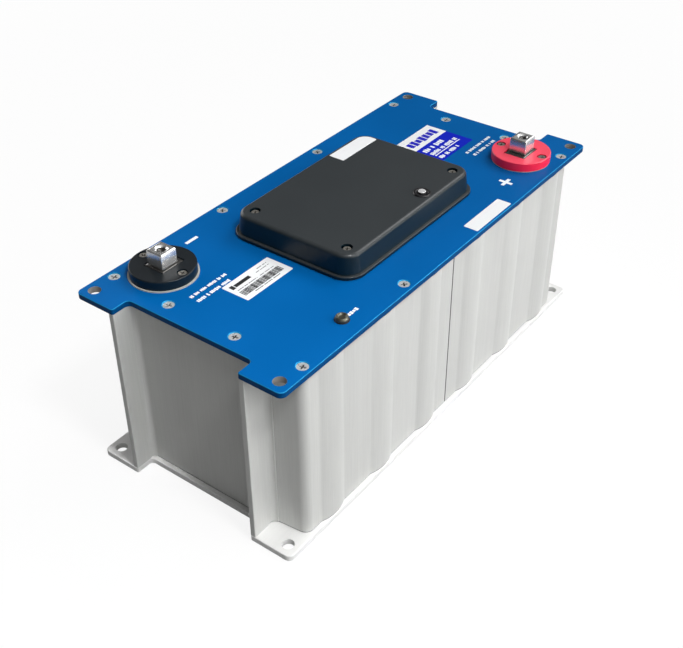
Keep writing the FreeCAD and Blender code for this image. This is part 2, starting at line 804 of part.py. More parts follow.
def cover():
    """The moulded cover: a drafted tray with a flange, screw pillars and ribs inside."""
    flange_top = cover_base + cover_flange_thickness
    wall_foot = cover_height - cover_flange_thickness
    shell = tapered(cover_level_outline(wall_foot, 0), cover_level_outline(0, 0),
                    flange_top, cover_top)
    shell = shell.makeFillet(cover_top_rounding, flat_edges(shell, cover_top))
    flange = prism(rectangle(0, 0, cover_flange_length, cover_flange_width, cover_corner_radius),
                   cover_base, cover_flange_thickness)
    flange = flange.makeFillet(cover_flange_rounding, flat_edges(flange, flange_top))
    hollow = tapered(cover_level_outline(cover_height, cover_wall),
                     cover_level_outline(cover_wall, cover_wall), cover_base, cover_ceiling)
    ceiling_edges = flat_edges(hollow, cover_ceiling)
    hollow = hollow.makeFillet(cover_top_rounding - cover_wall / 2, ceiling_edges)
    solid = shell.fuse(flange).cut(hollow)
    posts = [rod(x, y, cover_base, 2 * cover_boss_radius, cover_ceiling + cover_wall / 2 - cover_base)
             for x, y in cover_screw_places()]
    rib_width = cover_flange_width - 2 * (cover_flange_lip + cover_draft + cover_wall / 2)
    ribs = [block(i * cover_rib_spacing, 0, cover_ceiling - cover_rib_height, cover_rib_width,
                  rib_width, cover_rib_height + cover_wall / 2) for i in (-1, 0, 1)]
    solid = solid.multiFuse(posts + ribs)
    plug_hole = plug_stem_diameter + 2 * plug_stem_clearance
    tools = [rod(plug_x, plug_y, cover_ceiling - cover_rib_height, plug_hole,
                 cover_wall + cover_rib_height)]
    for x, y in cover_screw_places():
        tools.append(rod(x, y, cover_base, cover_screw_hole_diameter, cover_height))
        tools.append(rod(x, y, cover_top - cover_screw_recess_depth, cover_screw_recess_diameter,
                         cover_screw_recess_depth))
    return cut_all(solid, tools)


def cover_gasket():
    """The flat ring under the cover's flange, round the screw pillars too."""
    outer = rectangle(0, 0, cover_flange_length - 2 * cover_gasket_inset,
                      cover_flange_width - 2 * cover_gasket_inset,
                      cover_corner_radius - cover_gasket_inset)
    inset = cover_gasket_inset + cover_gasket_width
    inner = rectangle(0, 0, cover_flange_length - 2 * inset, cover_flange_width - 2 * inset,
                      cover_corner_radius - inset)
    ring = prism(outer, plate_top, cover_gasket_thickness)
    ring = ring.cut(prism(inner, plate_top, cover_gasket_thickness))
    pads = [rod(x, y, plate_top, 2 * cover_boss_radius, cover_gasket_thickness)
            for x, y in cover_screw_places()]
    holes = [rod(x, y, plate_top, cover_screw_hole_diameter, cover_gasket_thickness)
             for x, y in cover_screw_places()]
    return cut_all(ring.multiFuse(pads).removeSplitter(), holes)


def cover_screws():
    """The four screws of the cover, deep in its recesses."""
    seat = cover_top - cover_screw_recess_depth
    return [headed_screw(x, y, seat, top_plate_base, cover_screw_head_diameter,
                         cover_screw_head_height, cover_screw_core_diameter)
            for x, y in cover_screw_places()]


def cover_plug():
    """The rubber plug: a dished collar on the cover, a stem with a barb and a raised neck."""
    collar = plug_collar_diameter / 2
    dish = plug_dish_diameter / 2
    stem = plug_stem_diameter / 2
    barb = plug_barb_diameter / 2
    neck = plug_neck_diameter / 2
    rim_level = cover_top + plug_collar_height
    dish_level = rim_level - plug_dish_depth
    neck_level = cover_top + plug_neck_height
    barb_level = cover_ceiling - plug_barb_height
    profile = [(0, barb_level), (stem, barb_level), (barb, cover_ceiling), (stem, cover_ceiling),
               (stem, cover_top), (collar, cover_top), (collar - plug_dish_depth, rim_level),
               (dish, rim_level), (dish - plug_dish_depth, dish_level), (neck, dish_level),
               (neck, neck_level), (0, neck_level)]
    return turned(plug_x, plug_y, profile)


def plug_cap():
    """The bright cap on the plug's neck."""
    z = cover_top + plug_neck_height
    cap = rod(plug_x, plug_y, z, plug_cap_diameter, plug_cap_height)
    return cap.makeFillet(plug_cap_rounding, flat_edges(cap, z + plug_cap_height))


def vent_seal():
    """The ring under the vent's head."""
    diameter = vent_head_diameter + 2 * vent_seal_margin
    ring = rod(vent_x, vent_y, plate_top, diameter, vent_seal_thickness)
    hole = vent_stem_diameter + 2 * vent_stem_clearance
    return ring.cut(rod(vent_x, vent_y, plate_top, hole, vent_seal_thickness))


def vent_plug():
    """The vent: a rounded head on a hollow stem."""
    head_base = plate_top + vent_seal_thickness
    head = rod(vent_x, vent_y, head_base, vent_head_diameter, vent_head_height)
    head = head.makeFillet(vent_head_rounding, flat_edges(head, head_base + vent_head_height))
    stem_base = top_plate_base - vent_stem_reach
    stem = rod(vent_x, vent_y, stem_base, vent_stem_diameter, head_base - stem_base)
    plug = head.fuse(stem).removeSplitter()
    return plug.cut(rod(vent_x, vent_y, stem_base, vent_bore_diameter, head_base - stem_base))


def plate_label(x, y, length, width):
    """A label stuck flat on the top plate."""
    return prism(rectangle(x, y, length, width, label_corner_radius), plate_top, label_thickness)


def cover_label():
    """The blank label in the cover's +X +Y corner, rounded as the cover's flat top is."""
    edge = cover_flange_lip + cover_draft + cover_top_rounding + cover_label_edge_gap
    right = cover_end_x - edge
    back = cover_side_y - edge
    outer_radius = cover_corner_radius - edge
    items = [Corner(right, back, outer_radius),
             Corner(right - cover_label_length, back, label_corner_radius),
             Corner(right - cover_label_length, back - cover_label_width, label_corner_radius),
             Corner(right, back - cover_label_width, label_corner_radius)]
    return prism(items, cover_top, label_thickness)


def balance_board():
    """The circuit board that balances the cells."""
    board = prism(rectangle(0, 0, board_length, board_width, board_corner_radius),
                  board_base, board_thickness)
    return cut_all(board, [rod(x, y, board_base, board_screw_hole_diameter, board_thickness)
                           for x, y in pillar_places()])


def board_pillars():
    """The four pillars between the plate and the board."""
    pillars = []
    for x, y in pillar_places():
        pillar = rod(x, y, plate_top, board_pillar_diameter, board_pillar_height)
        spigot = rod(x, y, plate_top - board_pillar_spigot_length, board_pillar_spigot_diameter,
                     board_pillar_spigot_length)
        depth = board_screw_length
        bore = rod(x, y, board_base - depth, board_screw_core_diameter + 2 * tapped_hole_clearance,
                   depth)
        pillars.append(pillar.fuse(spigot).cut(bore))
    return pillars


def board_screws():
    """The four screws that hold the board on its pillars."""
    end = board_top - board_screw_length
    return [headed_screw(x, y, board_top, end, board_screw_head_diameter,
                         board_screw_head_height, board_screw_core_diameter)
            for x, y in pillar_places()]


def board_connector():
    """The socket under the board that takes the ribbon's riser."""
    return block(0, 0, board_base - board_connector_height, board_connector_length,
                 board_connector_width, board_connector_height)


def board_resistors():
    """One balancing resistor for each cell, in two rows on the board."""
    resistors = []
    for i in range(resistor_columns):
        for j in range(resistor_rows):
            x = (i - (resistor_columns - 1) / 2) * resistor_pitch_x
            y = (j - (resistor_rows - 1) / 2) * resistor_pitch_y
            body = block(x, y, board_top, resistor_length, resistor_width, resistor_height)
            top_edges = flat_edges(body, board_top + resistor_height)
            resistors.append(body.makeChamfer(resistor_edge, top_edges))
    return resistors


def save(name, shapes):
    """Writes one node: a single solid, or a group of separate solids."""
    shape = shapes if isinstance(shapes, Part.Shape) else Part.makeCompound(shapes)
    solids = shape.Solids
    node = solids[0] if len(solids) == 1 else Part.makeCompound(solids)
    node.exportStep("parts/" + name + ".step")


os.makedirs("parts", exist_ok=True)

save("bottom_plate", bottom_plate())
save("top_plate", top_plate())
save("case_half_negative", case_half(-1))
save("case_half_positive", case_half(1))
save("seam_seals", seam_seals())
save("bottom_gasket", gasket(bottom_plate_top))
save("top_gasket", gasket(case_top))
save("bottom_plate_screws", [plate_screw(x, y, 0, -1) for x, y in plate_screws])
save("top_plate_screws", [plate_screw(x, y, plate_top, 1) for x, y in plate_screws])

for number, (cell_x, cell_y) in enumerate(series_path(), start=1):
    save("cell_%02d" % number, cell(cell_x, cell_y))
save("bottom_bus_bars", bus_bars(0, bottom_bar_base))
save("top_bus_bars", bus_bars(1, cell_top))
save("bottom_sheet", sheet_blank(bottom_plate_top))
save("top_sheet", top_sheet())
save("tap_ribbon", tap_ribbon())

for polarity, place, ring_diameter in (
        ("negative", negative_place, negative_ring_diameter),
        ("positive", positive_place, positive_ring_diameter)):
    save(polarity + "_terminal_stud", terminal_stud(*place))
    save(polarity + "_terminal_block", terminal_block(*place))
    save(polarity + "_terminal_seal", terminal_seal(*place))
    save(polarity + "_disc", insulating_disc(*place))
    save(polarity + "_disc_ring", disc_ring(*place, ring_diameter))
save("disc_screws", disc_screws())

save("cover", cover())
save("cover_gasket", cover_gasket())
save("cover_screws", cover_screws())
save("cover_plug", cover_plug())
save("plug_cap", plug_cap())
save("cover_label", cover_label())

save("vent_plug", vent_plug())
save("vent_seal", vent_seal())
save("rating_label", plate_label(rating_label_x, rating_label_y, rating_label_length,
                                 rating_label_width))
save("serial_label", plate_label(serial_label_x, serial_label_y, serial_label_length,
                                 serial_label_width))
save("blank_label", plate_label(blank_label_x, blank_label_y, blank_label_length,
                                blank_label_width))

save("balance_board", balance_board())
save("board_pillars", board_pillars())
save("board_screws", board_screws())
save("board_connector", board_connector())
save("board_resistors", board_resistors())
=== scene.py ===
"""Looks of a supercapacitor module: finishes, screws, terminals, labels and print round its frame.

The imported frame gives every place. Lengths are metres, +X runs to the positive terminal's end,
+Y to the negative terminal's side and +Z up.
"""
import logging
import math
from dataclasses import dataclass, field, replace
from enum import Enum
from functools import cache
from typing import Any, Sequence

import bmesh
import bpy
import numpy as np
from mathutils import Matrix, Vector


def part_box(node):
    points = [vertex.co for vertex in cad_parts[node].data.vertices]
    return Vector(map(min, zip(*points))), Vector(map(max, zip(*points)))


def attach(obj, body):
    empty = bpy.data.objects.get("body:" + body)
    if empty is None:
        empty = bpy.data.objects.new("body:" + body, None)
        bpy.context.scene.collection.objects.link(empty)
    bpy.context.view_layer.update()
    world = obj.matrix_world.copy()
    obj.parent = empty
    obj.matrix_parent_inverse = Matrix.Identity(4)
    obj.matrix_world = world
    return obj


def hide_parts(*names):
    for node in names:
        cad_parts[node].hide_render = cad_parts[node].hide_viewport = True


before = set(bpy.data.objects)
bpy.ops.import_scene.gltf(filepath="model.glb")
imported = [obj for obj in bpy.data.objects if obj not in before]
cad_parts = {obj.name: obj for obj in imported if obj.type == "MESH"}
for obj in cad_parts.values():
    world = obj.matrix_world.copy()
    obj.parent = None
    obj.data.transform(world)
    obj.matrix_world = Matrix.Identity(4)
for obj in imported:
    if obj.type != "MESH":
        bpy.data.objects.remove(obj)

Array = np.ndarray
Triple = tuple[float, float, float]
Colour = Triple
Place = Triple
Socket = bpy.types.NodeSocket
Surface = tuple[Array, list[list[int]]]
Bars = tuple[tuple[float, float, float, float], ...]
Steps = tuple[Triple, ...]
MM = 0.001
MERGE_DISTANCE = 1e-6
ROOT = "root"
RECESS_SHADE = "recess_shade"
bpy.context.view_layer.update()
log = logging.getLogger("module")


class Polarity(Enum):
    """The two terminals."""

    NEGATIVE = "negative"
    POSITIVE = "positive"


class Facing(Enum):
    """Which way a screw's head looks."""

    UP = 1.0
    DOWN = -1.0


# Shader nodes


def add_node(tree: bpy.types.NodeTree, kind: str, inputs: dict[int | str, Any] | None = None,
             **settings: Any) -> bpy.types.Node:
    """Adds a node to a tree.

    Args:
        tree: The node tree.
        kind: Blender's name of the node type.
        inputs: Its inputs by name or number. A socket is linked, and anything else is set.
        **settings: Its attributes.

    Returns:
        The node.
    """
    made = tree.nodes.new(kind)
    for key, value in settings.items():
        setattr(made, key, value)
    for key, value in (inputs or {}).items():
        if isinstance(value, Socket):
            tree.links.new(value, made.inputs[key])
        else:
            made.inputs[key].default_value = value
    return made


class Graph:
    """The nodes of one material, round a Principled shader."""

    def __init__(self, name: str) -> None:
        """Starts a material with its shader and output.

        Args:
            name: The material's name.
        """
        self.material = bpy.data.materials.new(name)
        self.material.use_nodes = True
        self.tree = self.material.node_tree
        self.tree.nodes.clear()
        self.shader = self.add("ShaderNodeBsdfPrincipled")
        self.add("ShaderNodeOutputMaterial", {"Surface": self.shader.outputs["BSDF"]})
        self.place = self.add("ShaderNodeTexCoord").outputs["Object"]

    def add(self, kind: str, inputs: dict[int | str, Any] | None = None,
            **settings: Any) -> bpy.types.Node:
        """Adds a node to this material, as add_node does."""
        return add_node(self.tree, kind, inputs, **settings)

    def feed(self, **values: float | Socket) -> None:
        """Sets plain numbers on the shader's own sockets, and links patterns to them.

        Args:
            **values: Values by the socket's name, with an underscore for each space.
        """
        for key, value in values.items():
            socket = self.shader.inputs[key.replace("_", " ")]
            if isinstance(value, Socket):
                self.tree.links.new(value, socket)
            else:
                socket.default_value = value

    def math(self, operation: str, *numbers: float | Socket) -> Socket:
        """The result of a Math node."""
        return self.add("ShaderNodeMath", dict(enumerate(numbers)), operation=operation).outputs[0]

    def noise(self, scale: Sequence[float], detail: float = 3.0, rough: float = 0.55) -> Socket:
        """A noise pattern in Object coordinates.

        Args:
            scale: Repeats per metre along each axis.
            detail: Octaves.
            rough: Weight of the finer octaves.

        Returns:
            The pattern, which lies about 0.5.
        """
        mapping = self.add("ShaderNodeMapping", {"Vector": self.place, "Scale": scale})
        return self.add("ShaderNodeTexNoise", {
            "Vector": mapping.outputs["Vector"], "Scale": 1.0, "Detail": detail,
            "Roughness": rough}).outputs["Fac"]

    def upward(self) -> Socket:
        """The upward part of the surface's normal: 1 on a level face, 0 on an upright one."""
        normal = self.add("ShaderNodeNewGeometry").outputs["Normal"]
        return self.add("ShaderNodeSeparateXYZ", {"Vector": normal}).outputs["Z"]

    def ranged(self, pattern: Socket, low: float, high: float, start: float = 0.3,
               stop: float = 0.7) -> Socket:
        """A pattern mapped from start to stop on low to high, clamped.

        Args:
            pattern: The pattern.
            low: The value at start.
            high: The value at stop.
            start: The pattern's value that gives low.
            stop: The pattern's value that gives high.

        Returns:
            The mapped pattern.
        """
        return self.add("ShaderNodeMapRange", {
            "Value": pattern, "From Min": start, "From Max": stop, "To Min": low,
            "To Max": high}).outputs[0]

    def mix(self, share: float | Socket, first: Colour | Socket, second: Colour | Socket,
            blend_type: str = "MIX") -> Socket:
        """A mix of two colours.

        Args:
            share: The share of the second colour.
            first: A colour, or the socket that gives it.
            second: The same.
            blend_type: Blender's name of the way to mix.

        Returns:
            The mixed colour.
        """
        ends = [end if isinstance(end, Socket) else (*end, 1.0) for end in (first, second)]
        return self.add("ShaderNodeMix", {0: share, 6: ends[0], 7: ends[1]}, data_type="RGBA",
                        blend_type=blend_type).outputs[2]

    def tint(self, pattern: Socket, first: Colour | Socket, second: Colour | Socket,
             most: float = 1.0, start: float = 0.3, stop: float = 0.7) -> Socket:
        """The first colour, with the second mixed in by up to most from start to stop."""
        return self.mix(self.ranged(pattern, 0.0, most, start, stop), first, second)

    def bump(self, pattern: Socket, height: float, strength: float,
             below: Socket | None = None) -> Socket:
        """A bump from a pattern.

        Args:
            pattern: The pattern.
            height: Metres between the pattern's 0 and 1.
            strength: Share of the bump that shows.
            below: Another bump that this one lies on.

        Returns:
            The bumped normal.
        """
        base = {} if below is None else {"Normal": below}
        return self.add("ShaderNodeBump", {"Strength": strength, "Distance": height,
                                           "Height": pattern, **base}).outputs["Normal"]


@dataclass(frozen=True)
class Finish:
    """A finish: its material's name, the record's slot and the base colour in linear light."""

    name: str
    slot: str
    base: Colour

    @cache
    def material(self) -> bpy.types.Material:
        """The material, wired once and then shared.

        Returns:
            The material.
        """
        graph = Graph(self.name)
        self.wire(graph)
        return graph.material

    def wire(self, graph: Graph) -> None:
        """Wires the finish's nodes into a material's graph."""
        raise NotImplementedError

    def shade(self, share: float) -> Colour:
        """The base colour made darker or lighter by one factor."""
        return tuple(min(1.0, channel * share) for channel in self.base)


@dataclass(frozen=True)
class PaintedPlate(Finish):
    """Satin paint on metal, with a fine orange peel, soft clouds and a little dust."""

    # Colour of the painted highlight on roundings and countersinks.
    edge: Colour = (0.018, 0.26, 0.50)
    metal: Colour = (0.26, 0.25, 0.24)
    hole_x: float = 0.1993
    hole_y: float = 0.0854
    bare_radius: float = 0.00485
    gloss: float = 0.36
    sheen: float = 0.05
    cloud_scale: Triple = (9.0, 14.0, 9.0)
    grain_scale: float = 900.0
    grain_depth: float = 0.01 * MM
    peel_scale: float = 420.0
    peel_depth: float = 0.02 * MM

    def wire(self, graph: Graph) -> None:
        """Clouds tint the colour. By the upward part of the surface's normal, a painted highlight
        makes the paint paler on a rounding or a countersink, and a painted shade makes it darker
        on an upright edge. Within a radius of the axes of the corner holes the metal is bare.

        Args:
            graph: The material's graph.
        """
        clouds = graph.noise(self.cloud_scale, 2.0)
        grain = graph.noise((self.grain_scale,) * 3, 2.0)
        peel = graph.noise((self.peel_scale,) * 3, 1.5)
        upward = graph.upward()
        paint = graph.tint(clouds, self.shade(0.94), self.shade(1.06))
        dusty = graph.tint(grain, paint, self.shade(1.4), 0.10, 0.55, 0.8)
        # Painted shade: upright faces darken to half the base colour.
        upright = graph.ranged(upward, 1.0, 0.0, 0.05, 0.35)
        # Painted highlight: roundings and countersinks take the paler edge colour.
        rounding = graph.math("MULTIPLY", graph.ranged(upward, 0.0, 1.0, 0.25, 0.62),
                              graph.ranged(upward, 1.0, 0.0, 0.80, 0.985))
        shaded_walls = graph.mix(upright, dusty, self.shade(0.5))
        highlighted = graph.mix(rounding, shaded_walls, self.edge)
        graph.feed(Base_Color=graph.mix(self.bare(graph), highlighted, self.metal),
                   Roughness=graph.ranged(clouds, self.gloss - 0.05, self.gloss + 0.07),
                   Normal=graph.bump(peel, self.peel_depth, 0.3,
                                     graph.bump(grain, self.grain_depth, 0.2)),
                   Specular_IOR_Level=self.sheen)

    def bare(self, graph: Graph) -> Socket:
        """A mask of the corner holes' walls.

        It is 1 where the point (|x| - a, |y| - b) lies nearer to the middle than the radius, a
        and b being the holes' distances from the plate's middle lines.

        Args:
            graph: The material's graph.

        Returns:
            The mask.
        """
        point = graph.place
        for operation, operand in (("ABSOLUTE", (0.0, 0.0, 0.0)),
                                   ("SUBTRACT", (self.hole_x, self.hole_y, 0.0)),
                                   ("MULTIPLY", (1.0, 1.0, 0.0))):
            point = graph.add("ShaderNodeVectorMath", {0: point, 1: operand},
                              operation=operation).outputs["Vector"]
        reach = graph.add("ShaderNodeVectorMath", {0: point}, operation="LENGTH")
        return graph.math("LESS_THAN", reach.outputs["Value"], self.bare_radius)


@dataclass(frozen=True)
class DrawnMetal(Finish):
    """Aluminium with fine lines along one axis, faint wider bands and soft handling marks.

    Where a seam's half width is given, a painted shade darkens the seam on the middle plane across
    X.
    """

    along: Triple = (1.0, 1.0, 0.015)
    metal: float = 0.2
    rough: float = 0.45
    line_share: float = 0.02
    cloud_share: float = 0.035
    line_scale: float = 1500.0
    band_scale: float = 70.0
    cloud_scale: Triple = (22.0, 22.0, 16.0)
    depth: float = 0.004 * MM
    seam: float = 0.0

    def wire(self, graph: Graph) -> None:
        """Lines are noise stretched along the drawing direction; clouds and bands are wider.

        Args:
            graph: The material's graph.
        """
        fine = graph.noise([self.line_scale * share for share in self.along], 4.0, 0.7)
        bands = graph.noise([self.band_scale * share for share in self.along], 2.0, 0.5)
        clouds = graph.noise(self.cloud_scale, 3.0, 0.6)
        lines = graph.tint(fine, self.shade(1.0 - self.line_share),
                           self.shade(1.0 + self.line_share))
        level = graph.tint(bands, (1.0 - self.cloud_share,) * 3, (1.0,) * 3)
        banded = graph.mix(1.0, lines, level, "MULTIPLY")
        worn_and_seam_shade = graph.tint(clouds, banded, self.shade(0.8), self.cloud_share * 2.0, 0.45, 0.75)
        # Painted shade: the seam's groove is darkened to 0.12 of the base colour, standing in for
        # the shadow in the gap.
        if self.seam:
            split = graph.add("ShaderNodeSeparateXYZ", {"Vector": graph.place})
            away = graph.math("ABSOLUTE", split.outputs["X"])
            painted_shade = graph.ranged(away, 0.9, 0.0, self.seam, 1.5 * self.seam)
            worn_and_seam_shade = graph.mix(painted_shade, worn_and_seam_shade, self.shade(0.12))
        graph.feed(Base_Color=worn_and_seam_shade, Metallic=self.metal,
                   Roughness=graph.ranged(bands, self.rough - 0.06, self.rough + 0.08),
                   Normal=graph.bump(fine, self.depth, 0.5))


@dataclass(frozen=True)
class MouldedPlastic(Finish):
    """Moulded plastic with a fine spark texture and slightly uneven gloss."""

    rough: float = 0.42
    grain: float = 1400.0
    wide_scale: float = 14.0
    depth: float = 0.01 * MM
    mottle: float = 0.08
    sheen: float = 0.5
    coat: float = 0.0
    # Painted shade and painted reflection for upright faces.
    side: Colour | None = None

    def wire(self, graph: Graph) -> None:
        """A fine noise is the texture's height; a wide one varies colour and gloss.

        A side colour, where one is given, is painted shade and painted reflection on the upright
        faces: it takes over as the surface's normal turns level.

        Args:
            graph: The material's graph.
        """
        wide = graph.noise((self.wide_scale,) * 3, 2.0)
        fine = graph.noise((self.grain,) * 3, 3.0, 0.6)
        mottled = graph.tint(wide, self.shade(1.0 - self.mottle), self.shade(1.0 + self.mottle),
                             1.0, 0.2, 0.8)
        colour = graph.tint(fine, mottled, self.shade(1.3), 0.03, 0.4, 0.8)
        # Painted shade and painted reflection on upright faces.
        if self.side is not None:
            upright = graph.ranged(graph.upward(), 1.0, 0.0, 0.15, 0.75)
            colour = graph.mix(upright, colour, self.side)
        graph.feed(Base_Color=colour, Specular_IOR_Level=self.sheen, Coat_Weight=self.coat,
                   Coat_Roughness=0.2, Normal=graph.bump(fine, self.depth, 0.2),
                   Roughness=graph.ranged(wide, self.rough - 0.06, self.rough + 0.07, 0.2, 0.8))


@dataclass(frozen=True)
class PlatedMetal(Finish):
    """Bright plated metal with faint turning or milling lines and small stains.

    A mesh's own attribute of painted shade, where it has one, darkens its recesses.
    """

    rough: float = 0.22
    lines: Triple = (300.0, 300.0, 2600.0)
    stain: Colour = (0.30, 0.26, 0.22)
    stain_share: float = 0.25
    metal: float = 1.0
    cut: float = 0.4
    cut_depth: float = 0.006 * MM
    spot_scale: float = 260.0
    # Colour of the painted shade in recesses.
    painted_shade: Colour = (0.045, 0.040, 0.036)

    def wire(self, graph: Graph) -> None:
        """Stretched noise makes the tool lines; a wide noise makes stains and dull spots.

        Args:
            graph: The material's graph.
        """
        tool = graph.noise(self.lines, 3.0, 0.6)
        spots = graph.noise((self.spot_scale,) * 3, 3.0, 0.6)
        plated = graph.tint(tool, self.shade(0.9), self.base)
        stained = graph.tint(spots, plated, self.stain, self.stain_share, 0.5, 0.75)
        # Painted shade: the attribute read here darkens recesses, the bore and the collar, where
        # shade falls.
        recess_shade = graph.add("ShaderNodeAttribute", attribute_name=RECESS_SHADE).outputs["Fac"]
        graph.feed(Base_Color=graph.mix(recess_shade, stained, self.painted_shade), Metallic=self.metal,
                   Roughness=graph.ranged(spots, self.rough - 0.03, self.rough + 0.07),
                   Normal=graph.bump(tool, self.cut_depth, self.cut))


@dataclass(frozen=True)
class Rubber(Finish):
    """Rubber with a powdery bloom."""

    gloss: float = 0.55
    bloom_scale: float = 120.0
    skin_scale: float = 2200.0
    skin_depth: float = 0.02 * MM

    def wire(self, graph: Graph) -> None:
        """Bloom is a wide noise that lightens the colour; the skin is a fine bump.

        Args:
            graph: The material's graph.
        """
        bloom = graph.noise((self.bloom_scale,) * 3)
        fine = graph.noise((self.skin_scale,) * 3, 2.0)
        graph.feed(Base_Color=graph.tint(bloom, self.base, self.shade(2.2), 0.6),
                   Roughness=graph.ranged(bloom, self.gloss, self.gloss + 0.2),
                   Normal=graph.bump(fine, self.skin_depth, 0.4))


@dataclass(frozen=True)
class LabelStock(Finish):
    """Coated label stock, with faint fibres and a satin face."""

    rough: float = 0.4
    sheen: float = 0.4
    fibre_scale: Triple = (500.0, 1500.0, 900.0)
    fibre_depth: float = 0.01 * MM
    cloud_scale: float = 60.0

    def wire(self, graph: Graph) -> None:
        """Fibres are a stretched noise that tints the colour by a few hundredths.

        Args:
            graph: The material's graph.
        """
        fibre = graph.noise(self.fibre_scale, 3.0, 0.6)
        cloud = graph.noise((self.cloud_scale,) * 3, 2.0)
        graph.feed(Base_Color=graph.tint(fibre, self.shade(0.965), self.base),
                   Roughness=graph.ranged(cloud, self.rough - 0.06, self.rough + 0.1),
                   Normal=graph.bump(fibre, self.fibre_depth, 0.2),
                   Specular_IOR_Level=self.sheen)


@dataclass(frozen=True)
class WovenLaminate(Finish):
    """Circuit board laminate: solder mask over a glass weave."""

    wave_scale: float = 83.333
    weave_depth: float = 0.02 * MM
    cloud_scale: float = 40.0
    rough: float = 0.32

    def wire(self, graph: Graph) -> None:
        """Two crossed waves make the weave, and a wide noise varies the mask.

        Args:
            graph: The material's graph.
        """
        waves = [graph.add("ShaderNodeTexWave", {"Vector": graph.place, "Scale": self.wave_scale},
                           bands_direction=axis).outputs["Fac"] for axis in ("X", "Y")]
        weave = graph.math("MULTIPLY", *waves)
        cloud = graph.noise((self.cloud_scale,) * 3, 2.0)
        threads = graph.tint(weave, self.shade(0.85), self.shade(1.15), 1.0, 0.0, 1.0)
        graph.feed(Base_Color=graph.tint(cloud, threads, self.shade(0.7), 0.3),
                   Roughness=self.rough, Normal=graph.bump(weave, self.weave_depth, 0.3),
                   Coat_Weight=0.3, Coat_Roughness=0.15)


class Finishes(Enum):
    """Every finish of the module, by what it is on."""

    BLUE_PAINT = PaintedPlate("blue_paint", "plate_blue", (0.0004, 0.106, 0.352))
    CASE_METAL = DrawnMetal("case_metal", "case_aluminium", (0.575, 0.58, 0.565),
                            line_share=0.05, cloud_share=0.06, seam=0.00055)
    SHEET_METAL = DrawnMetal("bottom_sheet_metal", "plate_bare", (0.78, 0.78, 0.77),
                             along=(0.03, 1.0, 1.0), metal=0.05, rough=0.36, line_share=0.03,
                             depth=0.008 * MM)
    CAN_METAL = DrawnMetal("cell_can_metal", "cell_can", (0.80, 0.81, 0.82), metal=0.9,
                           rough=0.3, line_share=0.06, depth=0.01 * MM)
    BAR_METAL = DrawnMetal("bus_bar_metal", "bus_bar", (0.82, 0.83, 0.84),
                           along=(0.05, 1.0, 1.0), metal=0.9, rough=0.33, line_share=0.06,
                           depth=0.01 * MM)
    # The side colours of the cover and the discs are painted shade, with a painted reflection of
    # the blue plate on the dark ones.
    COVER_PLASTIC = MouldedPlastic("cover_plastic", "cover_black", (0.032, 0.037, 0.040),
                                   rough=0.345, sheen=0.35, depth=0.003 * MM, mottle=0.04,
                                   side=(0.002, 0.010, 0.016))
    BLACK_DISC = MouldedPlastic("black_disc_plastic", "disc_black", (0.009, 0.012, 0.015),
                                rough=0.345, sheen=0.28, depth=0.004 * MM,
                                side=(0.003, 0.010, 0.016))
    RED_DISC = MouldedPlastic("red_disc_plastic", "disc_red", (0.97, 0.075, 0.130), rough=0.34,
                              mottle=0.05, side=(0.84, 0.014, 0.055))
    RING_PLASTIC = MouldedPlastic("ring_plastic", "ring_clear", (0.42, 0.41, 0.37), rough=0.45,
                                  mottle=0.05)
    SHEET_PLASTIC = MouldedPlastic("insulating_sheet_plastic", "insulating_sheet",
                                   (0.66, 0.65, 0.55), rough=0.5, mottle=0.05)
    CONNECTOR_PLASTIC = MouldedPlastic("connector_moulding", "connector_plastic",
                                       (0.75, 0.74, 0.68), rough=0.3, mottle=0.04)
    FILM = MouldedPlastic("amber_film", "ribbon_film", (0.55, 0.22, 0.03), rough=0.28,
                          mottle=0.1, coat=0.3)
    RESISTOR_BODY = MouldedPlastic("resistor_ceramic", "resistor_body", (0.62, 0.60, 0.52),
                                   rough=0.65, mottle=0.06, depth=0.1 * MM)
    SEAL_RUBBER = Rubber("bloomed_rubber", "seal_rubber", (0.012, 0.012, 0.013))
    PLUG_RUBBER = Rubber("soft_plug_rubber", "plug_rubber", (0.003, 0.003, 0.004), gloss=0.3)
    SCREW_ZINC = PlatedMetal("screw_zinc", "screw_steel", (0.84, 0.86, 0.87), rough=0.28,
                             metal=0.6, lines=(2200.0, 2200.0, 300.0), stain=(0.22, 0.21, 0.19),
                             stain_share=0.12)
    TERMINAL_PLATE = PlatedMetal("terminal_plating", "terminal_plated", (0.94, 0.94, 0.93),
                                 rough=0.20, metal=0.86, stain_share=0.04, cut=0.1)
    DULL_ZINC = PlatedMetal("dull_screw_zinc", "screw_steel", (0.42, 0.40, 0.36), rough=0.4,
                            metal=0.8, lines=(2200.0, 2200.0, 300.0), stain=(0.12, 0.11, 0.09))
    CAP_PLATE = PlatedMetal("cap_plating", "cap_plated", (0.92, 0.92, 0.93), rough=0.2,
                            metal=0.5, stain_share=0.05)
    VENT_METAL = PlatedMetal("vent_steel", "vent_metal", (0.155, 0.155, 0.120), rough=0.36,
                             metal=0.8, stain=(0.06, 0.06, 0.042), stain_share=0.5)
    PILLAR_BRASS = PlatedMetal("turned_brass", "pillar_brass", (0.72, 0.50, 0.20), rough=0.3)
    WHITE_STOCK = LabelStock("white_label_stock", "label_white", (0.88, 0.89, 0.90))
    BLUE_STOCK = LabelStock("blue_label_stock", "label_blue", (0.002, 0.014, 0.50), rough=0.34,
                            sheen=0.15)
    WHITE_INK = LabelStock("white_ink", "label_white", (0.90, 0.94, 0.96), rough=0.5)
    BLUE_INK = LabelStock("blue_ink", "label_blue", (0.010, 0.012, 0.50), rough=0.4)
    BLACK_INK = LabelStock("black_ink", "label_white", (0.010, 0.010, 0.012), rough=0.45)
    BOARD_LAMINATE = WovenLaminate("woven_laminate", "board_laminate", (0.010, 0.090, 0.035))


# Meshes


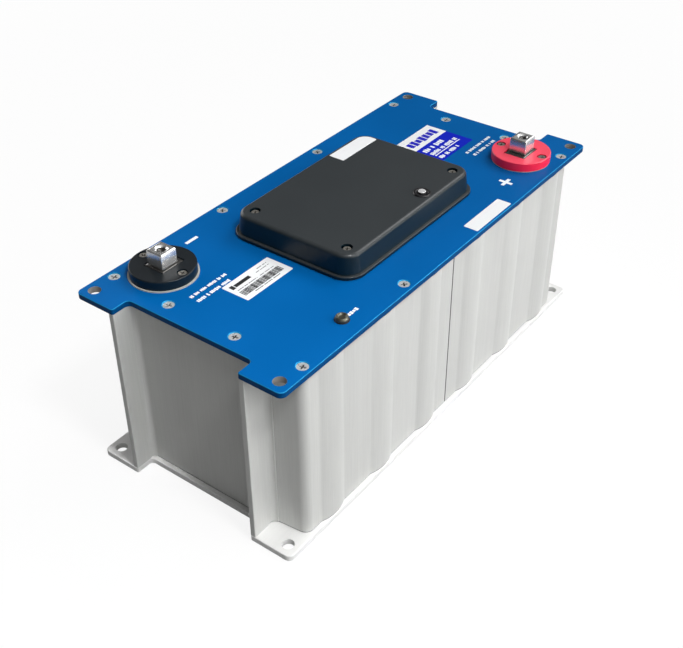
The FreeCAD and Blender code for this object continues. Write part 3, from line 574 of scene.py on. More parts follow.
def link_object(name: str, data: bpy.types.ID) -> bpy.types.Object:
    """Links new data to the scene as an object at the origin.

    Args:
        name: The object's name.
        data: Its mesh, lamp or lens.

    Returns:
        The object.
    """
    made = bpy.data.objects.new(name, data)
    bpy.context.scene.collection.objects.link(made)
    return made


def mesh_points(mesh: bpy.types.Mesh) -> Array:
    """The points of a mesh.

    Args:
        mesh: The mesh.

    Returns:
        Points x 3.
    """
    flat = np.empty(len(mesh.vertices) * 3, np.float32)
    mesh.vertices.foreach_get("co", flat)
    return flat.reshape(-1, 3)


def solid_boxes(node: str) -> list[tuple[Array, Array]]:
    """The low and the high corner of each separate solid in a node.

    Equal corners are joined by rounding. Each point then takes the least label along its edges,
    over and over, until every solid has one label.

    Args:
        node: The node's name.

    Returns:
        The corners, ordered along X and then Y.
    """
    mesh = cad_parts[node].data
    steps = 1.0 / MERGE_DISTANCE
    keys = np.round(mesh_points(mesh).astype(float) * steps).astype(np.int64)
    unique, index = np.unique(keys, axis=0, return_inverse=True)
    ends = np.empty(len(mesh.edges) * 2, np.int32)
    mesh.edges.foreach_get("vertices", ends)
    first, second = index.reshape(-1)[ends.reshape(-1, 2)].T
    labels, spread = None, np.arange(len(unique))
    while not np.array_equal(spread, labels):
        labels = spread
        low = np.minimum(labels[first], labels[second])
        spread = labels.copy()
        np.minimum.at(spread, first, low)
        np.minimum.at(spread, second, low)
        spread = spread[spread]
    real = unique / steps
    boxes = [(real[labels == label].min(0), real[labels == label].max(0))
             for label in np.unique(labels)]
    return sorted(boxes, key=lambda box: tuple(np.round(box[0][:2], 4)))


def node_box(node: str) -> tuple[Array, Array]:
    """The low and the high corner of a node, as arrays."""
    low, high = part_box(node)
    return np.array(low), np.array(high)


def sharpen(mesh: bpy.types.Mesh, degrees: float) -> None:
    """Smooths a merged mesh, but keeps the edges that turn by more than an angle.

    Args:
        mesh: The mesh.
        degrees: The angle between two faces from which their edge stays sharp.
    """
    work = bmesh.new()
    work.from_mesh(mesh)
    limit = math.radians(degrees)
    for edge in work.edges:
        edge.smooth = len(edge.link_faces) == 2 and edge.calc_face_angle(0.0) < limit
    work.to_mesh(mesh)
    work.free()
    mesh.polygons.foreach_set("use_smooth", np.full(len(mesh.polygons), True))
    mesh.update()


def add_piece(name: str, mesh: bpy.types.Mesh, finish: Finishes,
              nodes: Sequence[str] = ()) -> bpy.types.Object:
    """Links a mesh as a piece that rides on the module.

    Args:
        name: The piece's name.
        mesh: Its mesh, with its place in its points.
        finish: The finish that it takes.
        nodes: The nodes of the frame that it stands for.

    Returns:
        The piece.
    """
    piece = link_object(name, mesh)
    mesh.materials.append(finish.value.material())
    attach(piece, ROOT)
    if nodes:
        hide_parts(*nodes)
    log.info("%s: %d faces, %s", name, len(mesh.polygons), finish.value.name)
    return piece


def build_piece(name: str, surface: Surface, finish: Finishes, nodes: Sequence[str] = (),
                degrees: float = 32.0) -> bpy.types.Object:
    """Makes a piece from points and faces, smoothed by angle.

    Args:
        name: The piece's name.
        surface: Points, and rows of point numbers, anticlockwise from outside.
        finish: The finish that it takes.
        nodes: The nodes that it stands for.
        degrees: The angle from which an edge stays sharp.

    Returns:
        The piece.
    """
    mesh = bpy.data.meshes.new(name)
    mesh.from_pydata(surface[0].reshape(-1, 3).tolist(), [], surface[1])
    mesh.validate()
    sharpen(mesh, degrees)
    return add_piece(name, mesh, finish, nodes)


def skin(node: str, finish: Finishes, degrees: float = 28.0) -> None:
    """A copy of a node whose triangles are joined, so that its curved faces shade smoothly.

    Wide faces weigh most in a shared normal, so that flats stay flat beside their roundings.

    Args:
        node: The node that the copy stands for.
        finish: Its finish.
        degrees: The angle from which an edge stays sharp.
    """
    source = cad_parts[node].data
    loops = np.empty(len(source.loops), np.int32)
    source.loops.foreach_get("vertex_index", loops)
    mesh = bpy.data.meshes.new(node + "_skin")
    mesh.from_pydata(mesh_points(source).tolist(), [], loops.reshape(-1, 3).tolist())
    work = bmesh.new()
    work.from_mesh(mesh)
    bmesh.ops.remove_doubles(work, verts=work.verts, dist=MERGE_DISTANCE)
    work.to_mesh(mesh)
    work.free()
    sharpen(mesh, degrees)
    piece = add_piece(node + "_skin", mesh, finish, [node])
    weights = piece.modifiers.new("even_flats", "WEIGHTED_NORMAL")
    weights.weight = 100
    weights.keep_sharp = True


def skins(finish: Finishes, *nodes: str) -> None:
    """Dresses a skin of each node in one finish."""
    for node in nodes:
        skin(node, finish)


def paint_recess_shade(piece: bpy.types.Object, shares: Array) -> None:
    """Writes the share of painted shade at each point, which a plated finish reads."""
    painted_shade = piece.data.attributes.new(RECESS_SHADE, "FLOAT", "POINT")
    painted_shade.data.foreach_set("value", shares.astype(np.float32))


def grid_faces(rings: int, columns: int) -> Array:
    """Quads between neighbouring rings of a grid that closes round its columns.

    Args:
        rings: Rings of the grid.
        columns: Points of a ring.

    Returns:
        Quads x 4 point numbers.
    """
    ring = np.arange(rings - 1)[:, None] * columns
    column = np.arange(columns)[None, :]
    following = (column + 1) % columns
    quads = np.stack([ring + column, ring + following, ring + columns + following,
                      ring + columns + column], axis=-1)
    return quads.reshape(-1, 4)


def closed_tube(rings: Array) -> Surface:
    """A closed surface from rings whose first and last ones are poles.

    The rings run from the lower pole outwards, up and in again, and each goes anticlockwise
    seen from above, so that the faces look outwards.

    Args:
        rings: Rings x columns x 3. The first and the last ring are all one point.

    Returns:
        Points and faces, with triangles at both poles.
    """
    count, columns = rings.shape[:2]
    points = np.concatenate([rings[1:-1].reshape(-1, 3), rings[0, :1], rings[-1, :1]])
    faces = grid_faces(count - 2, columns).tolist()
    column = np.arange(columns)
    following = (column + 1) % columns
    last = (count - 3) * columns
    low = np.full(columns, len(points) - 2)
    faces += np.stack([following, column, low], 1).tolist()
    faces += np.stack([last + column, last + following, low + 1], 1).tolist()
    return points, faces


def joined(parts: Sequence[Surface]) -> Surface:
    """Several surfaces as one.

    Args:
        parts: The surfaces.

    Returns:
        All points, and all faces with their numbers moved on.
    """
    faces, offset = [], 0
    for points, rows in parts:
        faces += [[offset + number for number in row] for row in rows]
        offset += len(points)
    return np.concatenate([points for points, _ in parts]), faces


def polar(radius: Array | float, angle: Array, level: Array | float) -> Array:
    """Points at a radius times the cosine and sine of an angle, and at a level."""
    flat = np.broadcast_arrays(radius * np.cos(angle), radius * np.sin(angle), level)
    return np.stack(flat, axis=-1)


def corner_columns(count: int) -> tuple[Array, Array]:
    """The columns of a rounded rectangle, a quarter turn of them at each corner.

    The rectangle is the sign times the distance to a corner's centre, plus the corner's radius
    times the direction.

    Args:
        count: Columns of a corner.

    Returns:
        The direction and the sign of each column, both columns x 2.
    """
    turn = np.radians(np.arange(4)[:, None] * 90.0 + np.linspace(0.0, 90.0, count)).reshape(-1)
    sign = np.array([(1, 1), (-1, 1), (-1, -1), (1, -1)], float).repeat(count, axis=0)
    return np.stack([np.cos(turn), np.sin(turn)], 1), sign


def groove(level: Array, angle: Array, pitch: float, low: float, high: float) -> Array:
    """How far a thread stands off its root, from 0 to 1.

    It is twice the distance of (level / pitch - angle / full turn) from a whole number, and it
    fades out within a pitch of both ends.

    Args:
        level: Levels, rings x 1.
        angle: Angles, 1 x columns.
        pitch: The thread's pitch.
        low: The lower end.
        high: The upper end.

    Returns:
        Rings x columns.
    """
    phase = level / pitch - angle / (2 * math.pi)
    fade = np.clip(np.minimum(level - low, high - level) / pitch, 0.0, 1.0)
    return np.abs(phase - np.round(phase)) * 2 * fade


def soften(profile: Array, radius: float, steps: int = 4) -> Array:
    """Rounds the inner corners of a profile.

    Each corner C becomes the curve (1-t)^2 A + 2t(1-t) C + t^2 B for t from 0 to 1, where A and
    B lie on the two sides, a radius away or at 0.45 of the side if that is less.

    Args:
        profile: Rows of two numbers.
        radius: How far each curve reaches along its sides.
        steps: Intervals of a curve.

    Returns:
        The new rows, with the two ends kept.
    """
    corner = profile[1:-1]
    ends = []
    for other in (profile[:-2], profile[2:]):
        side = other - corner
        length = np.maximum(np.linalg.norm(side, axis=1, keepdims=True), 1e-9)
        ends.append(corner + side / length * np.minimum(radius, 0.45 * length))
    t = np.linspace(0.0, 1.0, steps + 1)[None, :, None]
    curve = ((1 - t) ** 2 * ends[0][:, None] + 2 * t * (1 - t) * corner[:, None]
             + t ** 2 * ends[1][:, None])
    return np.concatenate([profile[:1], curve.reshape(-1, 2), profile[-1:]])


def turned(profile: Array, centre: Array, columns: int = 64) -> Surface:
    """A closed turned surface.

    Each (radius, level) pair of the profile goes round the upright axis, at the pair's level.

    Args:
        profile: Rows of radius and level, from the lower pole to the upper one.
        centre: X and Y of the axis.
        columns: Points round.

    Returns:
        Points and faces.
    """
    angle = np.linspace(0.0, 2.0 * math.pi, columns, endpoint=False)
    rings = polar(profile[:, :1], angle, profile[:, 1:])
    rings[..., :2] += centre
    return closed_tube(rings)


def flat_bars(bars: Array, base: float, height: float, radius: float = 0.15 * MM) -> Surface:
    """Thin bars with rounded corners that lie on a level, for print.

    Each bar's outline is drawn at the base and again at the base plus height.

    Args:
        bars: Rows of low X, high X, low Y and high Y.
        base: The level that they lie on.
        height: How far they stand up.
        radius: The corner radius, at most 0.45 of the narrower half side.

    Returns:
        Points and faces of all bars.
    """
    middle = np.stack([bars[:, :2].mean(1), bars[:, 2:].mean(1)], 1)
    half = np.stack([bars[:, 1] - bars[:, 0], bars[:, 3] - bars[:, 2]], 1) / 2
    bend = np.minimum(radius, 0.45 * half.min(1))[:, None, None]
    normal, sign = corner_columns(3)
    outline = middle[:, None] + sign * (half[:, None] - bend) + bend * normal
    count, columns = outline.shape[:2]
    points = np.empty((count, 2, columns, 3))
    points[..., :2] = outline[:, None]
    points[..., 2] = np.array([base, base + height])[None, :, None]
    start = np.arange(count)[:, None, None] * 2 * columns
    faces = (start + grid_faces(2, columns)[None]).reshape(-1, 4).tolist()
    column = np.arange(columns)
    faces += (start[:, 0] + columns + column).tolist()
    faces += (start[:, 0] + column[::-1]).tolist()
    return points.reshape(-1, 3), faces


# Screws


@dataclass(frozen=True)
class CrossScrew:
    """A cross-recessed screw with a rolled thread, drawn about its head's middle, head up.

    The head's face is a polar grid. In each quarter turn its columns run along the recess: the
    angle of an edge column is asin(half width / radius), so that the recess has straight sides,
    and its floor rises from the middle to the ends. The thread's radius is the core's less the
    thread's depth times its groove. The shares give the grid's rings: rim of the head's radius,
    floor of the recess's reach, outer and foot of its half width, and inner of the foot.
    """

    head_radius: float
    core_radius: float
    head_height: float = 0.0
    countersunk: bool = False
    recess_reach: float = 2.0 * MM
    recess_half_width: float = 0.6 * MM
    recess_depth: float = 1.2 * MM
    length: float = 0.0
    turn: float = 0.0
    pitch: float = 0.9 * MM
    thread_depth: float = 0.32 * MM
    rings_per_pitch: int = 5
    columns: int = 40
    rim_share: float = 0.93
    floor_share: float = 0.84
    foot_share: float = 0.62
    outer_share: float = 1.55
    inner_share: float = 1.36
    floor_rise: float = 0.45
    edge_break: float = 0.08 * MM

    def face(self) -> tuple[Array, Array, Array]:
        """The head's face from its rim to its middle.

        Returns:
            Radii, levels and angles of its rings, each rings x columns.
        """
        reach, wide, narrow = (self.recess_reach, self.recess_half_width,
                               self.foot_share * self.recess_half_width)
        inner, outer = narrow * self.inner_share, wide * self.outer_share
        floor_end = reach * self.floor_share
        radii = np.array([self.head_radius * self.rim_share, 0.5 * (reach + self.head_radius),
                          reach, floor_end, 0.5 * (floor_end + outer), outer, inner,
                          0.5 * inner])
        r = radii[:, None]
        edge = np.degrees(np.arcsin(np.minimum(wide / r, 0.68)))
        foot = np.degrees(np.arcsin(np.minimum(narrow / r, 0.62)))
        third = (45.0 - edge) / 3
        quarter = np.concatenate([-45.0 + 0 * r, -edge - 2 * third, -edge - third, -edge, -foot,
                                  0 * r, foot, edge, edge + third, edge + 2 * third], axis=1)
        even = np.linspace(-45.0, 36.0, 10)[None, :]
        share = np.array([0.85, 0.4, 0.0, 0.0, 0.0, 0.0, 1.0, 1.0])[:, None]
        quarter = quarter * (1 - share) + even * share
        sunk = np.zeros(quarter.shape)
        sunk[3:6, 4:7] = 1.0
        sunk[6:] = 1.0
        level = -sunk * self.recess_depth * (1.0 - self.floor_rise * r / reach)
        angle = np.radians(quarter[:, None, :] + np.arange(4)[None, :, None] * 90.0)
        return (np.broadcast_to(r, (len(radii), self.columns)), np.tile(level, (1, 4)),
                angle.reshape(len(radii), self.columns) + self.turn)

    def profile(self) -> Array:
        """The outline without the thread.

        Returns:
            Rows of radius and level, from the tip's pole up to the head's rim.
        """
        tip, core, head = -self.length, self.core_radius, self.head_radius
        foot = core * 0.5
        rows = [(0.0, tip), (foot, tip), (core, tip + foot)]
        if self.countersunk:
            land = self.edge_break
            rows += [(core, core - head), (head - land, -2 * land), (head, -land),
                     (head - 0.75 * land, 0.0)]
        else:
            seat, dome = -self.head_height, self.head_height / 3
            rows += [(core, seat), (head, seat), (head, -dome),
                     (head - 0.30 * dome, -0.30 * dome), (head - dome, 0.0)]
        return np.array(rows)

    def rings(self) -> Array:
        """All rings from the tip's pole to the face's pole.

        Returns:
            Rings x columns x 3.
        """
        profile = self.profile()
        start, stop = profile[2, 1], profile[3, 1]
        rows = int((stop - start) / self.pitch * self.rings_per_pitch)
        level = np.linspace(start, stop, rows)[:, None]
        even = np.radians(np.linspace(-45.0, 315.0, self.columns, endpoint=False))[None, :]
        even = even + self.turn
        thread = self.core_radius - self.thread_depth * groove(level, even, self.pitch, start,
                                                               stop)
        radius_face, level_face, angle_face = self.face()
        tip = np.broadcast_to(profile[:2, None, :], (2, self.columns, 2))
        rim = np.broadcast_to(profile[4:, None, :], (len(profile) - 4, self.columns, 2))
        radius = np.concatenate([tip[..., 0], thread, rim[..., 0], radius_face, 0 * even])
        height = np.concatenate([tip[..., 1], np.broadcast_to(level, thread.shape), rim[..., 1],
                                 level_face, 0 * even - self.recess_depth])
        plain = len(radius) - len(radius_face) - 1
        angle = np.concatenate([np.broadcast_to(even, (plain, self.columns)), angle_face, even])
        return polar(radius, angle, height)

    def recess_shade(self, points: Array) -> Array:
        """The share of painted shade at each point: 1 in the recess and 0 elsewhere.

        Args:
            points: The screw's points about its head's middle.

        Returns:
            One share for each point.
        """
        reach, depth = np.hypot(points[:, 0], points[:, 1]), -points[:, 2]
        inside = (reach < 1.02 * self.recess_reach) & (depth <= 1.01 * self.recess_depth)
        return np.where(inside & (depth > 0.1 * MM), 1.0, 0.0)


@dataclass
class ScrewSet:
    """The screws of one node, each turned its own way."""

    node: str
    screw: CrossScrew
    finish: Finishes
    facing: Facing = Facing.UP
    turn_by_x: float = 7919.0
    turn_by_y: float = 3571.0
    most_turn: float = 1.5

    def build(self) -> None:
        """Places one screw on the axis of each solid, its turn taken from the place.

        A screw whose head looks down is turned half round the X axis.
        """
        parts, recess_shade = [], []
        flip = np.array([1.0, self.facing.value, self.facing.value])
        for low, high in solid_boxes(self.node):
            place = (low + high) / 2
            place[2] = high[2] if self.facing is Facing.UP else low[2]
            turn = math.fmod(abs(place[0]) * self.turn_by_x + abs(place[1]) * self.turn_by_y,
                             self.most_turn)
            screw = replace(self.screw, length=high[2] - low[2], turn=turn)
            points, faces = closed_tube(screw.rings())
            parts.append((place + points * flip, faces))
            recess_shade.append(screw.recess_shade(points))
        piece = build_piece(self.node + "_cross", joined(parts), self.finish, [self.node])
        # Painted shade in each screw's cross recess.
        paint_recess_shade(piece, np.concatenate(recess_shade))


@dataclass
class Screws:
    """Every set of screws."""

    plate: CrossScrew = CrossScrew(4.3 * MM, 2.05 * MM, countersunk=True,
                                   recess_reach=2.7 * MM, recess_half_width=0.75 * MM,
                                   recess_depth=1.5 * MM)
    cover: CrossScrew = CrossScrew(3.5 * MM, 1.95 * MM, 2.0 * MM)
    disc: CrossScrew = CrossScrew(3.7 * MM, 1.6 * MM, 2.2 * MM)
    board: CrossScrew = CrossScrew(2.75 * MM, 1.25 * MM, 1.8 * MM, recess_reach=1.6 * MM,
                                   recess_half_width=0.45 * MM, recess_depth=1.0 * MM)

    def build(self) -> None:
        """Builds the sets of both plates, the cover, the discs and the board."""
        ScrewSet("top_plate_screws", self.plate, Finishes.SCREW_ZINC).build()
        ScrewSet("bottom_plate_screws", self.plate, Finishes.SCREW_ZINC, Facing.DOWN).build()
        ScrewSet("cover_screws", self.cover, Finishes.DULL_ZINC).build()
        ScrewSet("disc_screws", self.disc, Finishes.DULL_ZINC).build()
        ScrewSet("board_screws", self.board, Finishes.SCREW_ZINC).build()


# Case and what it holds


@dataclass
class Case:
    """The two plates, the extruded halves and what seals them."""

    halves: tuple[str, ...] = ("case_half_negative", "case_half_positive")
    rubber: tuple[str, ...] = ("seam_seals", "bottom_gasket", "top_gasket")

    def build(self) -> None:
        """Dresses the plates, the halves, the seam strips and the gaskets."""
        skin("top_plate", Finishes.BLUE_PAINT)
        skin("bottom_plate", Finishes.SHEET_METAL)
        skins(Finishes.CASE_METAL, *self.halves)
        skins(Finishes.SEAL_RUBBER, *self.rubber)


@dataclass
class CellStack:
    """The cells, the bars that join them, the sheets and the sense ribbon."""

    cells: int = 18

    def build(self) -> None:
        """Dresses everything that the case holds."""
        numbers = range(1, self.cells + 1)
        skins(Finishes.CAN_METAL, *(f"cell_{number:02d}" for number in numbers))
        skins(Finishes.BAR_METAL, "bottom_bus_bars", "top_bus_bars")
        skins(Finishes.SHEET_PLASTIC, "bottom_sheet", "top_sheet")
        skin("tap_ribbon", Finishes.FILM)


@dataclass
class Board:
    """The balancing board under the cover."""

    def build(self) -> None:
        """Dresses the board and what stands on it."""
        skin("balance_board", Finishes.BOARD_LAMINATE)
        skin("board_pillars", Finishes.PILLAR_BRASS)
        skin("board_connector", Finishes.CONNECTOR_PLASTIC)
        skin("board_resistors", Finishes.RESISTOR_BODY)


# Terminals


@dataclass(frozen=True)
class Station:
    """One level of a lofted piece: a rounded rectangle, or a circle where half_y is zero."""

    level: float
    half_x: float
    half_y: float = 0.0
    corner: float = 0.0
    shift: float = 0.0


@dataclass
class Terminal:
    """A plated block on its collar, the disc and ring round it, and the stud and seal below."""

    polarity: Polarity
    disc_finish: Finishes
    collar_height: float = 2.2 * MM
    collar_side: float = 9.2 * MM
    collar_inboard: float = 12.2 * MM
    neck_radius: float = 6.3 * MM
    neck_height: float = 0.9 * MM
    block_half: float = 7.6 * MM
    block_chamfer: float = 0.8 * MM
    edge: float = 0.15 * MM
    bore_radius: float = 3.4 * MM
    bore_depth: float = 8.0 * MM
    mouth: float = 1.3 * MM
    pitch: float = 1.25 * MM
    thread_depth: float = 0.5 * MM
    thread_rings: int = 44
    socket_radius: float = 4.05 * MM
    socket_depth: float = 6.05 * MM
    corner_count: int = 12
    # Shares of painted shade in the bore and on the collar in its pocket.
    bore_shade: float = 0.9
    collar_shade: float = 0.85

    def place(self) -> Array:
        """The middle of the block in X and Y, from the stud's node."""
        low, high = node_box(self.polarity.value + "_terminal_stud")
        return (low + high)[:2] / 2

    def collar(self, level: float, inset: float) -> Station:
        """The collar's rectangle at a level, drawn in on all sides.

        Args:
            level: Its level.
            inset: How far it is drawn in.

        Returns:
            The station.
        """
        half = (self.collar_inboard + self.collar_side) / 2
        shift = -math.copysign((self.collar_inboard - self.collar_side) / 2, self.place()[0])
        return Station(level, half - inset, self.collar_side - inset, 2 * self.edge, shift)

    def square(self, level: float, inset: float) -> Station:
        """The block's square at a level, drawn in on all sides."""
        return Station(level, self.block_half - inset, self.block_half - inset, 3 * self.edge)

    def stations(self) -> list[Station]:
        """The levels from the socket's ceiling, out over the block and into the bore's mouth.

        Returns:
            The stations in that order.
        """
        low, high = node_box(self.polarity.value + "_terminal_block")
        base, top, edge, cut = low[2], high[2], self.edge, self.block_chamfer
        collar_top = base + self.collar_height
        block_base = collar_top + self.neck_height
        mouth_radius = self.bore_radius + self.mouth
        return [
            Station(base + self.socket_depth, self.socket_radius),
            Station(base, self.socket_radius),
            self.collar(base, edge),
            self.collar(base + edge, 0.0),
            self.collar(collar_top - 2 * edge, 0.0),
            self.collar(collar_top - 0.6 * edge, 0.6 * edge),
            self.collar(collar_top, 2 * edge),
            Station(collar_top, self.neck_radius),
            Station(block_base, self.neck_radius),
            self.square(block_base, edge),
            self.square(block_base + edge, 0.0),
            self.square(top - cut - edge, 0.0),
            self.square(top - cut, 0.3 * edge),
            self.square(top - edge, cut - 0.7 * edge),
            self.square(top, cut + edge),
            Station(top, mouth_radius + edge),
            Station(top - edge, mouth_radius - edge),
            Station(top - self.mouth, self.bore_radius),
        ]

    def block(self) -> Surface:
        """The block as a loft through its stations, with a threaded bore.

        A rectangle's columns are those of corner_columns, and a circle's run evenly round. The
        bore's radius is the given one plus the thread's depth times its groove.

        Returns:
            Points and faces.
        """
        count, stations = self.corner_count, self.stations()
        direction, sign = corner_columns(count)
        even = np.radians(np.arange(4)[:, None] * 90.0
                          + (np.arange(count) + 0.5) / count * 90.0).reshape(1, -1)
        rings = []
        for station in stations:
            if station.half_y:
                half = np.array([station.half_x, station.half_y]) - station.corner
                flat = sign * half + station.corner * direction
                flat[:, 0] += station.shift
                rings.append(np.column_stack([flat, np.full(4 * count, station.level)]))
            else:
                rings.append(polar(station.half_x, even[0], station.level))
        start = stations[-1].level
        stop = start + self.mouth - self.bore_depth
        level = np.linspace(start, stop, self.thread_rings)[1:, None]
        relief = groove(level, even, self.pitch, stop, start)
        thread = polar(self.bore_radius + self.thread_depth * relief, even, level)
        poles = np.zeros((2, 1, 4 * count, 3))
        poles[0, ..., 2] = stations[0].level
        poles[1, ..., 2] = stop
        stack = np.concatenate([poles[0], np.stack(rings), thread, poles[1]])
        stack[..., :2] += self.place()
        return closed_tube(stack)

    def build(self) -> None:
        """Builds the block, and dresses the disc, the ring, the stud and the seal."""
        name = self.polarity.value
        block = self.block()
        piece = build_piece(name + "_terminal_block_threaded", block, Finishes.TERMINAL_PLATE,
                            [name + "_terminal_block"])
        low, high = node_box(name + "_terminal_block")
        level = block[0][:, 2]
        lower = level < low[2] + self.collar_height + self.neck_height - self.edge
        across = np.linalg.norm(block[0][:, :2] - self.place(), axis=1)
        bore = (level < high[2] - self.mouth) & (across < self.neck_radius - 2 * self.edge)
        # Painted shade: the bore and the collar are darkened where shade falls.
        paint_recess_shade(piece, np.where(bore, self.bore_shade, np.where(lower, self.collar_shade, 0.0)))
        skin(name + "_terminal_stud", Finishes.TERMINAL_PLATE)
        skin(name + "_terminal_seal", Finishes.SEAL_RUBBER)
        skin(name + "_disc", self.disc_finish)
        skin(name + "_disc_ring", Finishes.RING_PLASTIC)


# Cover, plug and vent


@dataclass
class CoverGroup:
    """The moulded cover, its gasket, and the plug with its bright cap."""

    cover_degrees: float = 24.0
    collar_radius: float = 7.3 * MM
    collar_height: float = 1.0 * MM
    dish_radius: float = 5.2 * MM
    dish_depth: float = 0.6 * MM
    stem_radius: float = 4.0 * MM
    barb_radius: float = 4.6 * MM
    neck_radius: float = 2.7 * MM
    neck_height: float = 1.4 * MM
    wall: float = 2.2 * MM
    plug_softening: float = 0.28 * MM
    cap_face: float = 0.86
    cap_fall: float = 0.12 * MM
    cap_softening: float = 0.4 * MM

    def plug(self) -> None:
        """Turns the plug: a softened profile of stem, barb, dished collar and neck."""
        low, high = node_box("cover_plug")
        top = high[2] - self.neck_height
        rim, ceiling, depth = top + self.collar_height, top - self.wall, self.dish_depth
        profile = np.array([
            (0.0, low[2]), (self.stem_radius, low[2]), (self.barb_radius, ceiling),
            (self.stem_radius, ceiling), (self.stem_radius, top), (self.collar_radius, top),
            (self.collar_radius - depth, rim), (self.dish_radius, rim),
            (self.dish_radius - depth, rim - depth), (self.neck_radius, rim - depth),
            (self.neck_radius, high[2]), (0.0, high[2])])
        surface = turned(soften(profile, self.plug_softening), (low + high)[:2] / 2)
        build_piece("cover_plug_turned", surface, Finishes.PLUG_RUBBER, ["cover_plug"])

    def cap(self) -> None:
        """Turns the cap: its rim is rolled over, and its face falls with the radius squared."""
        low, high = node_box("plug_cap")
        radius, base, top = (high[0] - low[0]) / 2, low[2], high[2]
        face, brim = radius * self.cap_face, top - self.cap_fall
        share = np.linspace(1.0, 0.0, 9)
        dome = np.stack([face * share, top - self.cap_fall * share ** 2], axis=1)
        rim = soften(np.array([(radius, base), (radius, brim), (face, brim)]),
                     self.cap_softening)
        profile = np.concatenate([[(0.0, base)], rim[:-1], dome])
        surface = turned(profile, (low + high)[:2] / 2)
        build_piece("plug_cap_domed", surface, Finishes.CAP_PLATE, ["plug_cap"])

    def build(self) -> None:
        """Dresses the cover and its gasket, and turns the plug and the cap."""
        skin("cover", Finishes.COVER_PLASTIC, self.cover_degrees)
        skin("cover_gasket", Finishes.SEAL_RUBBER)
        self.plug()
        self.cap()


@dataclass
class Vent:
    """The vent fitting, a dished head on a hollow stem, and the ring under it."""

    head_height: float = 2.8 * MM
    side_height: float = 1.3 * MM
    rim_radius: float = 4.2 * MM
    dish_radius: float = 3.6 * MM
    dish_depth: float = 1.2 * MM
    # Share of painted shade in the dish.
    dish_shade: float = 0.3
    stem_radius: float = 3.1 * MM
    bore_radius: float = 1.0 * MM
    softening: float = 0.45 * MM

    def plug(self) -> None:
        """Turns the fitting: a softened profile of bore, stem, sloping side, rim and dish."""
        low, high = node_box("vent_plug")
        centre, radius, top = (low + high)[:2] / 2, (high[0] - low[0]) / 2, high[2]
        base, floor = top - self.head_height, top - self.dish_depth
        profile = np.array([
            (0.0, base), (self.bore_radius, base), (self.bore_radius, low[2]),
            (self.stem_radius, low[2]), (self.stem_radius, base), (radius, base),
            (radius, base + self.side_height), (self.rim_radius, top), (self.dish_radius, top),
            (self.dish_radius - self.dish_depth, floor), (0.0, floor)])
        surface = turned(soften(profile, self.softening), centre)
        piece = build_piece("vent_plug_turned", surface, Finishes.VENT_METAL, ["vent_plug"])
        across = np.linalg.norm(surface[0][:, :2] - centre, axis=1)
        dish = (across < self.dish_radius) & (surface[0][:, 2] > base + 0.1 * MM)
        # Painted shade in the dish.
        paint_recess_shade(piece, np.where(dish, self.dish_shade, 0.0))

    def build(self) -> None:
        """Turns the fitting and dresses its seal."""
        self.plug()
        skin("vent_seal", Finishes.SEAL_RUBBER)


# Labels and print


@dataclass(frozen=True)
class Row:
    """A line of print as small blocks in groups, in millimetres.

    Block n begins at start plus n pitches and fills a share of its pitch. The place after each
    group stays empty, and the groups repeat up to the row's stop. The blocks' heights vary with
    the sine of n times the ripple.
    """

    start: float
    stop: float
    middle: float
    height: float
    pitch: float
    groups: tuple[int, ...]
    repeats: int = 12
    fill: float = 0.80
    uneven: float = 0.16
    ripple: float = 2.4

    def bars(self) -> Array:
        """The blocks of the row.

        Returns:
            Rows of low X, high X, low Y and high Y.
        """
        count = int((self.stop - self.start) / self.pitch)
        gaps = np.cumsum(np.array(self.groups * self.repeats) + 1) - 1
        number = np.setdiff1d(np.arange(count), gaps)
        wave = self.uneven * np.sin(number * self.ripple)
        half = self.height / 2 * (1.0 - self.uneven + wave)
        low = self.start + number * self.pitch
        return np.stack([low, low + self.fill * self.pitch, self.middle - half,
                         self.middle + half], axis=1)


